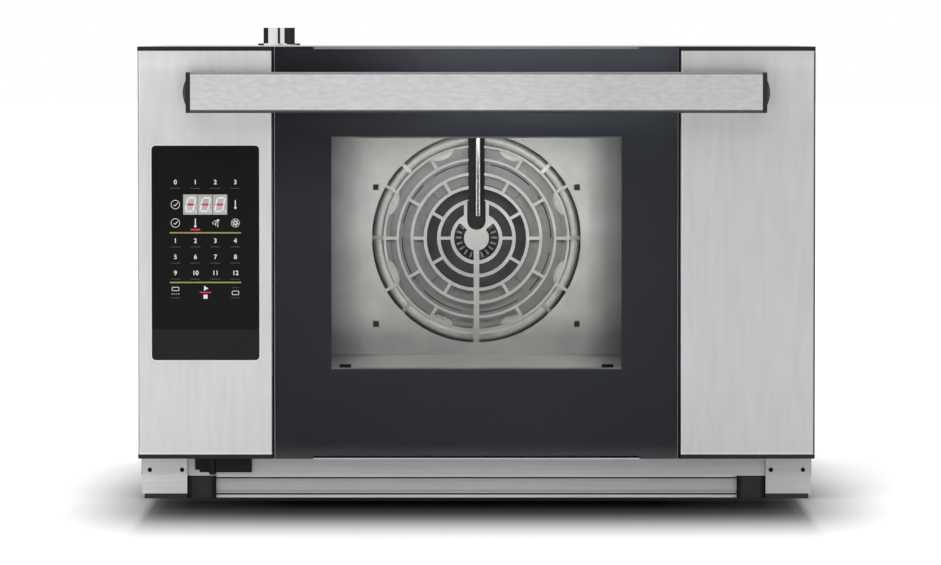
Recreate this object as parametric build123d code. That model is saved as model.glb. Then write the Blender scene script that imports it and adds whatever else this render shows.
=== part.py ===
from build123d import *
import math
import os

# Counter-top convection oven with a drop-down glass door.
# Millimetres. +X is to the right, +Y to the back and +Z up, seen from the front.
# The origin lies on the counter, under the middle of the oven's overall box.

# Overall sizes
body_width = 600.0
body_height = 402.0
overall_depth = 587.0
chimney_height = 17.0
sheet = 1.2
cabinet_inset = 1.5

# Depths, from the front to the back
handle_reach = 36.0
door_thickness = 50.0
door_gap = 4.0
base_setback = 19.5
sill_setback = 24.0
rear_fitting_reach = 12.0

handle_front_y = -overall_depth / 2
door_face_y = handle_front_y + handle_reach
door_back_y = door_face_y + door_thickness
frame_y = door_back_y + door_gap
plate_y = door_face_y + base_setback
sill_y = door_face_y + sill_setback
rear_tip_y = overall_depth / 2
rear_face_y = rear_tip_y - rear_fitting_reach

cabinet_half = body_width / 2 - cabinet_inset
cabinet_inner_half = cabinet_half - sheet

# Base, feet and corner plates
base_top_z = 36.0
pan_bottom_z = 20.0
corner_plate_width = 40.0
corner_plate_thickness = 2.0
corner_plate_bottom_z = 4.4
corner_hole_radius = 2.0
corner_hole_inset = 6.8
corner_hole_spacing = 28.6
corner_hole_z = 25.5
pan_hole_radius = 2.6
foot_block_width = 25.5
foot_depth = 44.0
foot_groove = 1.2
foot_groove_inset = 3.0
foot_groove_depth = 1.0
foot_outer_inset = 2.0
foot_back_radius = 4.0
rear_foot_setback = 14.0
rear_foot_radius = 5.0
fascia_bottom_z = 6.2
fascia_top_gap = 1.3
fascia_setback = 3.5
fascia_depth = 16.0
fascia_lip_bottom_z = 1.2
fascia_lip_height = 3.0
sill_return = 22.0

plate_outer_x = cabinet_half - 1.0
plate_inner_x = plate_outer_x - corner_plate_width
foot_inner_x = plate_inner_x - foot_block_width

# Cable guide on the sill
guide_plate_gap = 7.0
guide_length = 50.5
guide_bottom_z = 23.2
guide_end_width = 4.0
guide_post_offset = 15.6
guide_post_radius = 3.4
guide_top_gap = 0.8
guide_end_setback = 0.8
guide_web_setback = 1.6
guide_end_rise = 2.2
guide_tip_drop = 2.2
guide_joint_overlap = 0.6
guide_rib_pitch = 2.2
guide_rib_gap = 0.9
guide_rib_depth = 2.4
guide_rib_margin = 1.2

guide_left_x = -(plate_inner_x - guide_plate_gap)
guide_right_x = guide_left_x + guide_length
guide_post_x = guide_left_x + guide_post_offset

# Door outline
door_bottom_z = 36.8
door_top_z = body_height
strip_height = 3.8
notch_depth = 2.3
notch_end_radius = 2.0

# Door front panels
panel_side_width = 118.9
panel_edge_gap = 0.8
panel_bend_radius = 1.6
panel_inner_return = 20.0
panel_outer_return = 44.0
panel_corner_notch = 3.0

panel_inner_x = body_width / 2 - panel_side_width

# Door glass and its black backing
glass_panel_gap = 2.8
glass_thickness = 4.0
enamel_depth = 0.5
enamel_air_gap = 0.05
enamel_panel_gap = 0.4
notch_side_width = 33.3
window_side_width = 49.8
window_bottom_z = 116.9
window_top_drop = 80.3
inner_glass_side_reach = 17.7
inner_glass_overlap = 8.0
inner_window_margin = 8.3
inner_window_bottom_z = 106.0
inner_window_radius = 6.0

glass_half_width = panel_inner_x - glass_panel_gap
enamel_half_width = panel_inner_x - enamel_panel_gap
notch_half_width = glass_half_width - notch_side_width
window_half_width = glass_half_width - window_side_width
window_top_z = door_top_z - window_top_drop
inner_glass_half_width = glass_half_width + inner_glass_side_reach
inner_window_top_z = window_top_z + inner_window_margin

# Door inner panel and the bars that light the chamber
door_tray_inset = 2.7
profile_depth = 4.2
profile_lip_depth = 0.8
light_bar_window_gap = 21.5
light_bar_width = 12.0
light_bar_thickness = 6.0
clip_window_inset = 11.3
clip_width = 10.5
clip_thickness = 1.5
clip_top_rise = 1.4
clip_foot = 6.0

light_bar_x = window_half_width + light_bar_window_gap
clip_x = window_half_width - clip_window_inset
clip_top_z = window_bottom_z + clip_top_rise

# Control panel on the left door panel
control_side_gap = 12.5
control_width = 95.2
control_bottom_z = 124.4
control_top_drop = 87.7
control_corner_radius = 3.5
control_lower_height = 27.6
control_split_gap = 0.6
control_proud = 1.6
control_lower_proud = 1.2
control_box_inset = 4.5
control_box_depth = 29.0
control_box_wall = 2.0
control_ledge = 4.0
board_thickness = 1.6
board_setback = 4.4
board_clearance = 0.3
display_side_inset = 27.9
display_width = 39.1
display_top_drop = 43.0
display_height = 18.0
display_recess = 0.3

control_left_x = -(body_width / 2 - control_side_gap)
control_right_x = control_left_x + control_width
control_top_z = door_top_z - control_top_drop
control_split_z = control_bottom_z + control_lower_height
display_left_x = control_left_x + display_side_inset
display_right_x = display_left_x + display_width
display_top_z = control_top_z - display_top_drop
display_bottom_z = display_top_z - display_height

# Handle
handle_side_gap = 48.5
handle_height = 36.0
handle_thickness = 14.0
handle_top_drop = 40.3
handle_edge_radius = 2.5
handle_wall = 1.5
handle_cap_width = 4.0
handle_dome = 2.5
handle_leg_width = 16.0
handle_leg_height = 28.0
handle_leg_radius = 3.0
handle_bore_radius = 1.0
handle_dome_inset = 0.5
handle_dome_half_height = 10.8
handle_plug_length = 10.0
handle_plug_gap = 0.2
handle_plug_margin = 1.0

handle_length = body_width - 2 * handle_side_gap
handle_center_z = door_top_z - handle_top_drop

# Door hinge
hinge_pin_setback = 9.0
hinge_pin_z = 46.0
hinge_pin_radius = 3.0
hinge_pin_clearance = 0.05
hinge_pin_proud = 0.4
hinge_side_inset = 20.0
hinge_arm_thickness = 4.0
hinge_arm_half_height = 6.0
hinge_side_gap = 1.0
hinge_ear_thickness = 3.0
hinge_ear_gap = 0.2
hinge_ear_top_z = 80.0
hinge_flange_width = 20.0
hinge_flange_top_z = 70.0
hinge_flange_bottom_z = 38.0
hinge_flange_thickness = 3.0
hinge_slot_clearance = 1.0
hinge_sweep_clearance = 2.0

hinge_x = body_width / 2 - hinge_side_inset
hinge_pin_y = door_face_y + hinge_pin_setback
hinge_ear_radius = hinge_pin_z - door_bottom_z - profile_depth - hinge_ear_gap

# Oven chamber
chamber_side_space = 62.5
chamber_top_space = 72.5
chamber_rear_space = 90.0
chamber_floor_z = 107.5
chamber_wall = 1.0
chamber_corner_radius = 12.0
chamber_seam = 0.1
fan_space = 50.0
gasket_width = 9.0
gasket_offset = 5.0
gasket_gap = 0.3

chamber_half = body_width / 2 - chamber_side_space
chamber_top_z = body_height - chamber_top_space
chamber_height = chamber_top_z - chamber_floor_z
chamber_back_y = rear_face_y - chamber_rear_space
chamber_center_z = chamber_floor_z + chamber_height / 2
baffle_y = chamber_back_y - fan_space

# Insulation and rear bulkhead
wool_side = 35.0
wool_thickness = 30.0
wool_clearance = 0.5
top_return = 12.0

wool_back_y = chamber_back_y + chamber_wall + wool_clearance + wool_thickness
bulkhead_y = wool_back_y + wool_clearance
bulkhead_back_y = bulkhead_y + sheet
rear_inner_y = rear_face_y - sheet

# Fan guard in the baffle. Each ring of openings has its inner and outer radius as shares of the guard's
# radius, and its spokes in degrees.
baffle_side_gap = 15.5
baffle_edge_gap = 1.0
guard_edge_gap = 11.3
ring_openings = [
    (0.120, 0.215, []),
    (0.249, 0.344, [0, 180]),
    (0.377, 0.476, [30, 150, 210, 330]),
    (0.507, 0.603, [0, 60, 120, 180, 240, 300]),
    (0.631, 0.742, [30, 150, 210, 330]),
    (0.765, 0.866, [0, 60, 120, 180, 240, 300]),
    (0.890, 1.000, [30, 150, 210, 330]),
]
guard_sides_inner = 28
guard_sides_middle = 40
guard_sides_outer = 56
spoke_width = 2.9
center_bar_width = 5.3
hub_gusset_angle = 42.0
slot_half_width = 8.8
slot_upper_half_width = 7.5
slot_step_radius = 35.5
slot_bottom_rise = 7.9
slot_rim = 3.1
channel_wall = 1.0
channel_overlap = 0.5
channel_pipe_gap = 1.1
channel_nut_space = 11.5
lance_hole = 5.5
lance_side_share = 0.961
lance_rise_share = 0.487
lance_drop_share = 0.822
post_radius = 5.0
post_side_inset = 22.0
post_edge_inset = 23.0

baffle_half_width = chamber_half - baffle_side_gap
baffle_half_height = chamber_height / 2 - baffle_edge_gap
guard_radius = chamber_height / 2 - guard_edge_gap
lance_x = lance_side_share * guard_radius
lance_rise = lance_rise_share * guard_radius
lance_drop = lance_drop_share * guard_radius
post_x = baffle_half_width - post_side_inset
post_rise = chamber_height / 2 - post_edge_inset

# Fan wheel, shaft and motor
fan_guard_share = 0.863
fan_eye_share = 0.58
fan_front_gap = 8.0
fan_blade_depth = 26.0
fan_sheet = 1.2
fan_blades = 8
fan_hub_radius = 14.0
fan_sides = 56
scallop_radius = 18.0
scallop_depth = 5.5
shaft_radius = 5.0
shaft_stud_radius = 4.0
shaft_stud_length = 6.0
shaft_wall_clearance = 3.0
shaft_bearing_clearance = 0.05
shaft_bore_depth = 30.0
nut_across_flats = 17.0
nut_thickness = 6.5
nut_crown = 1.0
nut_crown_share = 0.8
motor_bell_radius = 44.0
motor_bell_depth = 10.0
motor_stack_size = 84.0
motor_stack_depth = 26.0
motor_rear_radius = 34.0
motor_rear_depth = 12.0
motor_corner_radius = 12.0

fan_radius = fan_guard_share * guard_radius
fan_eye_radius = fan_eye_share * fan_radius
fan_front_y = baffle_y + sheet + fan_front_gap
fan_back_y = fan_front_y + fan_sheet + fan_blade_depth

# Ring heating elements
element_guard_inset = 5.2
element_tube_radius = 4.25
element_front_setback = 5.0
element_pitch = 14.0
element_front_gap_angle = 10.6
element_rear_gap_angle = 26.0
element_bend_radius = 12.0
element_bend_steps = 3
element_ring_steps = 36
element_sides = 6
element_leg_tail = 11.0
element_hole_clearance = 1.0
clip_strip_width = 7.0
clip_strip_thickness = 1.2
clip_tab_reach = 11.0
element_clip_gap = 0.2
element_clip_angles = [0, 45, 135, 180, 225, 315]

element_radius = guard_radius - element_guard_inset

# Water pipe and inlet valve
pipe_x = 1.5
pipe_radius = 3.0
pipe_bore_radius = 2.0
pipe_bore_depth = 12.0
pipe_tip_z = 240.0
pipe_bend_radius = 14.0
pipe_bend_gap = 1.0
pipe_bend_steps = 4
pipe_sides = 16
pipe_hole_clearance = 0.6
valve_width = 34.0
valve_height = 30.0
valve_gap = 6.0
valve_top_step = 5.0
inlet_radius = 13.2
inlet_bore_radius = 9.0
inlet_collar_radius = 17.0
inlet_collar_depth = 3.0

wool_top_z = chamber_top_z + chamber_wall + wool_clearance + wool_thickness
pipe_run_z = wool_top_z + pipe_bend_radius + pipe_bend_gap

# Side racks for three trays
rack_levels = 3
rack_pitch = 65.0
rack_first_rise = 36.0
rack_thickness = 1.5
rack_reach = 14.0
rack_flange = 12.0
rack_post_width = 15.0
rack_post_thickness = 4.0
rack_front_setback = 22.0
rack_back_gap = 24.0

# Steam outlet on the top
chimney_side_inset = 109.5
chimney_wall_gap = 2.0
chimney_radius = 15.0
chimney_wall = 1.0
chimney_flange_radius = 20.0
chimney_flange_thickness = 2.0
chimney_hole_clearance = 0.3

chimney_x = -(cabinet_half - chimney_side_inset)
chimney_y = chamber_back_y - chimney_wall_gap - chimney_radius

# Electrics behind the bulkhead
electrics_side_inset = 108.5
supply_side_inset = 83.5
power_board_drop = 157.0
power_board_width = 130.0
power_board_height = 150.0
power_board_standoff = 8.0
standoff_radius = 3.0
standoff_inset = 7.0
relay_count = 4
relay_pitch = 27.0
relay_width = 20.0
relay_height = 28.0
relay_depth = 16.0
relay_margin = 15.0
transformer_width = 42.0
transformer_height = 38.0
transformer_depth = 28.0
transformer_margin = 18.0
capacitor_count = 3
capacitor_pitch = 22.0
capacitor_radius = 8.0
capacitor_depth = 20.0
capacitor_margin = 20.0
terminal_z = 110.0
terminal_poles = 5
terminal_pole_width = 13.0
terminal_height = 24.0
terminal_depth = 20.0
terminal_opening = 7.0
terminal_well_depth = 6.0
terminal_floor = 4.0
terminal_rib = 1.6
terminal_rib_height = 2.0
gland_z = 64.0
gland_radius = 12.0
gland_flat = 24.0
gland_hexagon_depth = 5.0
gland_nut_depth = 5.0
gland_stem_depth = 6.0
gland_bore_radius = 5.5
gland_stem_share = 0.8
gland_dome_inset = 2.0
cooling_fan_z = 130.0
cooling_fan_size = 80.0
cooling_fan_depth = 25.0
cooling_fan_bore_radius = 37.5
cooling_fan_corner_radius = 4.0
cooling_rotor_front_gap = 0.5
cooling_rotor_back_gap = 3.5
cooling_pin_end_gap = 5.0
cooling_rotor_cap = 1.5
cooling_blade_gap = 1.5
cooling_hub_radius = 15.0
cooling_blades = 7
cooling_pin_radius = 2.0
cooling_pin_clearance = 0.05
cooling_strut_width = 4.0
cooling_strut_depth = 3.0
cooling_blade_chord = 17.0
cooling_blade_thickness = 1.6
cooling_blade_pitch = 40.0
thermostat_drop = 152.0
thermostat_radius = 15.0
thermostat_depth = 18.0
thermostat_floor = 4.0
button_radius = 5.0
button_clearance = 0.08
button_travel = 2.0
button_end_gap = 0.5
button_proud = 4.0
button_hole_clearance = 2.0

power_board_x = -(cabinet_half - electrics_side_inset)
power_board_z = body_height - power_board_drop
terminal_x = -(cabinet_half - supply_side_inset)
gland_x = terminal_x
cooling_fan_x = cabinet_half - electrics_side_inset
thermostat_x = cooling_fan_x
thermostat_z = body_height - thermostat_drop

# Rear cover vents
louvre_width = 70.0
louvre_height = 4.0
louvre_pitch = 12.0
louvre_count = 8
louvre_top_drop = 18.0
grille_slots = 7
grille_pitch = 10.0

louvre_x = cooling_fan_x
louvre_bottom_z = body_height - louvre_top_drop - (louvre_count - 1) * louvre_pitch


def block(x0, x1, y0, y1, z0, z1):
    """Box between two corners."""
    return Pos((x0 + x1) / 2, (y0 + y1) / 2, (z0 + z1) / 2) * Box(x1 - x0, y1 - y0, z1 - z0)


def rod_x(x0, x1, y, z, radius):
    return Pos((x0 + x1) / 2, y, z) * Rot(0, 90, 0) * Cylinder(radius, x1 - x0)


def rod_y(x, y0, y1, z, radius):
    return Pos(x, (y0 + y1) / 2, z) * Rot(90, 0, 0) * Cylinder(radius, y1 - y0)


def rod_z(x, y, z0, z1, radius):
    return Pos(x, y, (z0 + z1) / 2) * Cylinder(radius, z1 - z0)


def many_sided(radius, sides=12):
    """Regular outline whose flat sides lie at the radius."""
    return RegularPolygon(radius, sides, major_radius=False)


def prism_y(x, y0, y1, z, radius, sides=12):
    return Pos(x, 0, z) * facing(many_sided(radius, sides), y0, y1)


def facing(profile, y0, y1):
    """Solid between two depths, from a profile drawn as seen from the front."""
    return Pos(0, y0, 0) * extrude(Plane.XZ * profile, amount=y0 - y1)


def rectangle(x0, x1, z0, z1):
    """Rectangle between two corners, for a profile seen from the front."""
    return Pos((x0 + x1) / 2, (z0 + z1) / 2) * Rectangle(x1 - x0, z1 - z0)


def rounded_rectangle(x0, x1, z0, z1, radius):
    limit = 0.45 * min(x1 - x0, z1 - z0)
    return Pos((x0 + x1) / 2, (z0 + z1) / 2) * RectangleRounded(x1 - x0, z1 - z0, min(radius, limit))


def section_x(points, x0, x1):
    """Solid between two X positions, from an outline of (y, z) points."""
    outline = make_face(Polyline(*points, close=True))
    return Pos(x0, 0, 0) * extrude(Plane.YZ * outline, amount=x1 - x0)


def mirrored(part):
    return mirror(part, about=Plane.YZ)


def polar(radius, degrees):
    angle = math.radians(degrees)
    return radius * math.cos(angle), radius * math.sin(angle)


# Base

def corner_hole_places():
    """Distances of the two corner plate holes from the oven's middle."""
    outer = plate_outer_x - corner_hole_inset
    return outer, outer - corner_hole_spacing


def make_base_pan():
    """Bent sheet pan that carries everything: floor, side walls, rear wall and front corner walls."""
    front = sill_y + corner_plate_thickness
    outer = block(-cabinet_half, cabinet_half, front, rear_face_y, pan_bottom_z, base_top_z)
    inner = block(-cabinet_inner_half, cabinet_inner_half, front + sheet, rear_inner_y,
                  pan_bottom_z + sheet, base_top_z + 1)
    mouth = block(-plate_inner_x, plate_inner_x, front - 1, front + sheet + 1,
                  pan_bottom_z + sheet, base_top_z + 1)
    pan = outer - inner - mouth
    for x in corner_hole_places():
        for side in (-1, 1):
            pan -= prism_y(side * x, front - 1, front + sheet + 1, corner_hole_z, pan_hole_radius, 8)
    return pan


def make_front_sill():
    """Rail across the front between the corner plates, with its top edge bent back."""
    t = corner_plate_thickness
    points = [(sill_y, pan_bottom_z), (sill_y + t, pan_bottom_z), (sill_y + t, base_top_z - t),
              (sill_y + sill_return, base_top_z - t), (sill_y + sill_return, base_top_z),
              (sill_y, base_top_z)]
    rail = section_x(points, -plate_inner_x, plate_inner_x)
    front_top = rail.edges().filter_by(Axis.X).group_by(Axis.Y)[0].sort_by(Axis.Z)[-1]
    return fillet(front_top, corner_plate_thickness * 0.6)


def make_lower_fascia():
    """Folded strip under the sill: a face bent back at its top and bottom, and a hemmed lip below it."""
    y0 = sill_y + fascia_setback
    y1 = y0 + fascia_depth
    top = pan_bottom_z - fascia_top_gap
    lip_top = fascia_lip_bottom_z + fascia_lip_height
    points = [(y0, top), (y0, fascia_bottom_z), (y1 - sheet, fascia_bottom_z), (y1 - sheet, lip_top),
              (y0, lip_top), (y0, fascia_lip_bottom_z), (y1, fascia_lip_bottom_z),
              (y1, fascia_bottom_z + sheet), (y0 + sheet, fascia_bottom_z + sheet),
              (y0 + sheet, top - sheet), (y1, top - sheet), (y1, top)]
    return section_x(points, -foot_inner_x, foot_inner_x)


def make_corner_plate():
    """Right corner plate with two fixing holes and its top edge bent back to the pan."""
    front = rectangle(plate_inner_x, plate_outer_x, corner_plate_bottom_z, base_top_z)
    for x in corner_hole_places():
        front -= Pos(x, corner_hole_z) * Circle(corner_hole_radius)
    plate = facing(front, plate_y, plate_y + corner_plate_thickness)
    flange = block(plate_inner_x, plate_outer_x, plate_y, sill_y + corner_plate_thickness,
                   base_top_z - corner_plate_thickness, base_top_z)
    return plate + flange


def make_foot():
    """Right front foot: a block beside the fascia and a pad that runs under the corner plate."""
    plate_back = plate_y + corner_plate_thickness
    back = sill_y + foot_depth
    block_part = block(foot_inner_x, plate_inner_x, sill_y, back, 0, pan_bottom_z)
    outer_x = plate_outer_x - foot_outer_inset
    pad = block(plate_inner_x, outer_x, plate_back, back, 0, pan_bottom_z)
    toe = block(plate_inner_x, outer_x, plate_y, plate_back, 0, corner_plate_bottom_z)
    foot = block_part + pad + toe
    for x in (foot_inner_x + foot_groove_inset, plate_inner_x - foot_groove_inset):
        foot -= block(x - foot_groove / 2, x + foot_groove / 2, sill_y - 1, sill_y + foot_groove_depth,
                      -1, pan_bottom_z + 1)
    back_edges = foot.edges().filter_by(Axis.Z).group_by(Axis.Y)[-1]
    return fillet(back_edges, foot_back_radius)


def make_rear_foot():
    """Right rear foot: a plain rounded block under the back corner."""
    y1 = rear_face_y - rear_foot_setback
    foot = block(foot_inner_x, plate_outer_x - foot_outer_inset, y1 - foot_depth, y1, 0, pan_bottom_z)
    return fillet(foot.edges().filter_by(Axis.Z), rear_foot_radius)


def make_cable_guide():
    """Small moulded guide on the sill's left end: end plate, ribbed web, round post and block."""
    y0, y1 = plate_y, sill_y
    top = base_top_z - guide_top_gap
    end = block(guide_left_x, guide_left_x + guide_end_width, y0 + guide_end_setback, y1,
                guide_bottom_z + guide_end_rise, top)
    web = block(guide_left_x + guide_end_width, guide_post_x, y0 + guide_web_setback, y1, guide_bottom_z, top)
    post = rod_z(guide_post_x, y0 + guide_post_radius, guide_bottom_z, top, guide_post_radius)
    tip = Pos(guide_post_x, y0 + guide_post_radius, guide_bottom_z) * Sphere(guide_post_radius)
    post = (post + tip) & block(guide_left_x, guide_right_x, y0, y1, guide_bottom_z - guide_tip_drop, top)
    body = block(guide_post_x + guide_post_radius - guide_joint_overlap, guide_right_x, y0, y1,
                 guide_bottom_z, top)
    guide = end + web + post + body
    x = guide_left_x + guide_end_width + guide_rib_margin
    while x < guide_post_x - guide_post_radius - guide_rib_margin:
        guide -= block(x, x + guide_rib_gap, y0, y0 + guide_rib_depth, guide_bottom_z - 1,
                       top - guide_rib_margin)
        x += guide_rib_pitch
    return guide


# Hinges

def hinge_slot(front_y, back_y, bottom_z, top_z):
    """Slots on both sides that leave room for the two hinge arms."""
    half = hinge_arm_thickness / 2 + hinge_slot_clearance
    slot = block(hinge_x - half, hinge_x + half, front_y, back_y, bottom_z, top_z)
    return slot + mirrored(slot)


def make_hinge_arm():
    """Right hinge arm: a bar from the pin back through the front frame to its bolted flange."""
    half = hinge_arm_thickness / 2
    back = frame_y + sheet
    bar = block(hinge_x - half, hinge_x + half, hinge_pin_y, back + hinge_flange_thickness,
                hinge_pin_z - hinge_arm_half_height, hinge_pin_z + hinge_arm_half_height)
    nose = rod_x(hinge_x - half, hinge_x + half, hinge_pin_y, hinge_pin_z, hinge_arm_half_height)
    flange = block(hinge_x - hinge_flange_width / 2, hinge_x + hinge_flange_width / 2, back,
                   back + hinge_flange_thickness, hinge_flange_bottom_z, hinge_flange_top_z)
    bore = rod_x(hinge_x - half - 1, hinge_x + half + 1, hinge_pin_y, hinge_pin_z, hinge_pin_radius)
    return bar + nose + flange - bore


def hinge_ear_offset():
    """Distance from the arm's middle to the inner face of each door ear."""
    return hinge_arm_thickness / 2 + hinge_side_gap


def make_hinge_pin():
    reach = hinge_ear_offset() + hinge_ear_thickness + hinge_pin_proud
    return rod_x(hinge_x - reach, hinge_x + reach, hinge_pin_y, hinge_pin_z, hinge_pin_radius)


def make_hinge_ears():
    """Two door ears beside the right arm, carried by the door's inner panel."""
    seat_y = door_back_y - sheet
    front = hinge_pin_y - hinge_ear_radius
    ears = None
    for side in (-1, 1):
        inner = hinge_x + side * hinge_ear_offset()
        outer = inner + side * hinge_ear_thickness
        x0, x1 = min(inner, outer), max(inner, outer)
        plate = block(x0, x1, front, seat_y, hinge_pin_z, hinge_ear_top_z)
        plate += rod_x(x0, x1, hinge_pin_y, hinge_pin_z, hinge_ear_radius)
        plate -= rod_x(x0 - 1, x1 + 1, hinge_pin_y, hinge_pin_z, hinge_pin_radius + hinge_pin_clearance)
        ears = plate if ears is None else ears + plate
    return ears


# Door

def door_face_outline(half_width):
    """Outline of the door's middle, with the long shallow notches along its top and bottom edges."""
    outline = rectangle(-half_width, half_width, door_bottom_z, door_top_z)
    for edge in (door_top_z, door_bottom_z):
        notch = rounded_rectangle(-notch_half_width, notch_half_width, edge - notch_depth,
                                  edge + notch_depth, notch_end_radius)
        outline -= notch
    return outline


def make_outer_glass():
    return facing(door_face_outline(glass_half_width), door_face_y, door_face_y + glass_thickness)


def make_glass_mask():
    """Black backing of the outer glass, open at the window; it also closes the gaps beside the glass."""
    outline = door_face_outline(enamel_half_width)
    outline -= rectangle(-window_half_width, window_half_width, window_bottom_z, window_top_z)
    back = door_face_y + glass_thickness + enamel_depth
    return facing(outline, back - enamel_depth + enamel_air_gap, back)


def panel_outer_x():
    return body_width / 2 - panel_edge_gap


def panel_bottom_z():
    return door_bottom_z + strip_height


def panel_top_z():
    return door_top_z - strip_height


def make_door_panel():
    """Right front panel: a brushed sheet with both long edges bent back."""
    x0, x1, y0 = panel_inner_x, panel_outer_x(), door_face_y
    skin = Pos((x0 + x1) / 2, y0 + sheet / 2) * Rectangle(x1 - x0, sheet)
    inner = Pos(x0 + sheet / 2, y0 + panel_inner_return / 2) * Rectangle(sheet, panel_inner_return)
    outer = Pos(x1 - sheet / 2, y0 + panel_outer_return / 2) * Rectangle(sheet, panel_outer_return)
    section = skin + inner + outer
    section = fillet(section.vertices().group_by(Axis.Y)[0], panel_bend_radius)
    panel = Pos(0, 0, panel_bottom_z()) * extrude(section, amount=panel_top_z() - panel_bottom_z())
    behind_skin = y0 + sheet + profile_lip_depth / 2
    for z0, z1 in ((panel_bottom_z() - 1, panel_bottom_z() + panel_corner_notch),
                   (panel_top_z() - panel_corner_notch, panel_top_z() + 1)):
        panel -= block(x0 - 1, x1 + 1, behind_skin, door_back_y, z0, z1)
    return panel


def make_left_door_panel():
    """Left front panel, with the opening behind the control panel."""
    panel = mirrored(make_door_panel())
    inset = control_box_inset + control_box_wall
    return panel - block(control_left_x + inset, control_right_x - inset, door_face_y - 1,
                         door_face_y + sheet + 1, control_bottom_z + inset, control_top_z - inset)


def make_door_profile(is_top):
    """Black profile that closes the door's top or bottom edge, notched like the glass."""
    half = body_width / 2
    lip_back = door_face_y + sheet + profile_lip_depth
    glass_back = door_face_y + glass_thickness + enamel_depth
    edge = door_top_z if is_top else door_bottom_z
    inward = -1 if is_top else 1
    z_lip = sorted((edge, edge + inward * (strip_height - 0.2)))
    z_body = sorted((edge, edge + inward * profile_depth))
    z_notch = sorted((edge - inward, edge + inward * notch_depth))
    profile = block(-half, half, lip_back, door_back_y, *z_body)
    profile += block(-half, half, door_face_y, lip_back + 1, *z_lip)
    profile -= block(-enamel_half_width, enamel_half_width, door_face_y - 1, glass_back,
                     z_body[0] - 1, z_body[1] + 1)
    profile -= block(-notch_half_width, notch_half_width, door_face_y - 1, door_back_y + 1, *z_notch)
    if not is_top:
        front = hinge_pin_y - hinge_arm_half_height - hinge_slot_clearance
        profile -= hinge_slot(front, door_back_y + 1, z_body[0] - 1, z_body[1] + 1)
    return profile


def make_door_inner_panel():
    """Stainless tray that forms the door's inner side, with the window and the hinge pockets."""
    half = body_width / 2 - door_tray_inset
    bottom = door_bottom_z + profile_depth
    top = door_top_z - profile_depth
    front = door_face_y + glass_thickness + enamel_depth
    tray = block(-half, half, front, door_back_y, bottom, top)
    tray -= block(-half + sheet, half - sheet, front - 1, door_back_y - sheet, bottom + sheet, top - sheet)
    window = rounded_rectangle(-inner_glass_half_width + inner_glass_overlap,
                               inner_glass_half_width - inner_glass_overlap,
                               inner_window_bottom_z, inner_window_top_z, inner_window_radius)
    tray -= facing(window, door_back_y - sheet - 1, door_back_y + 1)
    pocket_half = hinge_ear_offset() + hinge_ear_thickness + hinge_slot_clearance
    pocket = block(hinge_x - pocket_half, hinge_x + pocket_half, front - 1, door_back_y - sheet,
                   bottom - 1, bottom + sheet)
    tray -= pocket + mirrored(pocket)
    slot_top = hinge_pin_z + hinge_arm_half_height + hinge_sweep_clearance
    return tray - hinge_slot(front, door_back_y + 1, bottom - 1, slot_top)


def make_inner_glass():
    back = door_back_y - sheet
    return facing(rectangle(-inner_glass_half_width, inner_glass_half_width,
                            inner_window_bottom_z - inner_glass_overlap,
                            inner_window_top_z + inner_glass_overlap), back - glass_thickness, back)


def make_inner_glass_clip():
    """Right clip that holds the lower edge of the inner glass against the inner panel."""
    seat = door_back_y - sheet
    glass_front = seat - glass_thickness
    foot_top = inner_window_bottom_z - inner_glass_overlap
    points = [(seat, foot_top - clip_foot), (seat, foot_top), (glass_front, foot_top),
              (glass_front, clip_top_z), (glass_front - clip_thickness, clip_top_z),
              (glass_front - clip_thickness, foot_top - clip_foot)]
    return section_x(points, clip_x - clip_width / 2, clip_x + clip_width / 2)


def make_light_bar():
    """Right light bar behind the enamel, beside the window."""
    front = door_face_y + glass_thickness + enamel_depth
    return block(light_bar_x - light_bar_width / 2, light_bar_x + light_bar_width / 2, front,
                 front + light_bar_thickness, window_bottom_z, window_top_z)


# Control panel

def control_outline():
    return rounded_rectangle(control_left_x, control_right_x, control_bottom_z, control_top_z,
                             control_corner_radius)


def make_control_face():
    """Glossy upper face with the opening of its display."""
    upper = rectangle(control_left_x, control_right_x, control_split_z + control_split_gap / 2, control_top_z)
    face = control_outline() & upper
    face -= rectangle(display_left_x, display_right_x, display_bottom_z, display_top_z)
    return facing(face, door_face_y - control_proud, door_face_y)


def make_control_display():
    window = rectangle(display_left_x, display_right_x, display_bottom_z, display_top_z)
    return facing(window, door_face_y - control_proud + display_recess, door_face_y)


def make_control_lower_cover():
    lower = rectangle(control_left_x, control_right_x, control_bottom_z,
                      control_split_z - control_split_gap / 2)
    return facing(control_outline() & lower, door_face_y - control_lower_proud, door_face_y)


def make_control_housing():
    """Box behind the left door panel, with a ledge for the circuit board."""
    x0, x1 = control_left_x + control_box_inset, control_right_x - control_box_inset
    z0, z1 = control_bottom_z + control_box_inset, control_top_z - control_box_inset
    y0 = door_face_y + sheet
    w = control_box_wall
    ledge_y = door_face_y + board_setback + board_thickness
    housing = facing(rounded_rectangle(x0, x1, z0, z1, control_corner_radius), y0, y0 + control_box_depth)
    housing -= block(x0 + w, x1 - w, y0 - 1, ledge_y, z0 + w, z1 - w)
    lw = w + control_ledge
    return housing - block(x0 + lw, x1 - lw, y0, y0 + control_box_depth - w, z0 + lw, z1 - lw)


def make_control_board():
    inset = control_box_inset + control_box_wall + board_clearance
    y0 = door_face_y + board_setback
    board = block(control_left_x + inset, control_right_x - inset, y0, y0 + board_thickness,
                  control_bottom_z + inset, control_top_z - inset)
    display_back = block(display_left_x, display_right_x, door_face_y, y0, display_bottom_z, display_top_z)
    return board + display_back


# Handle

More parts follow.
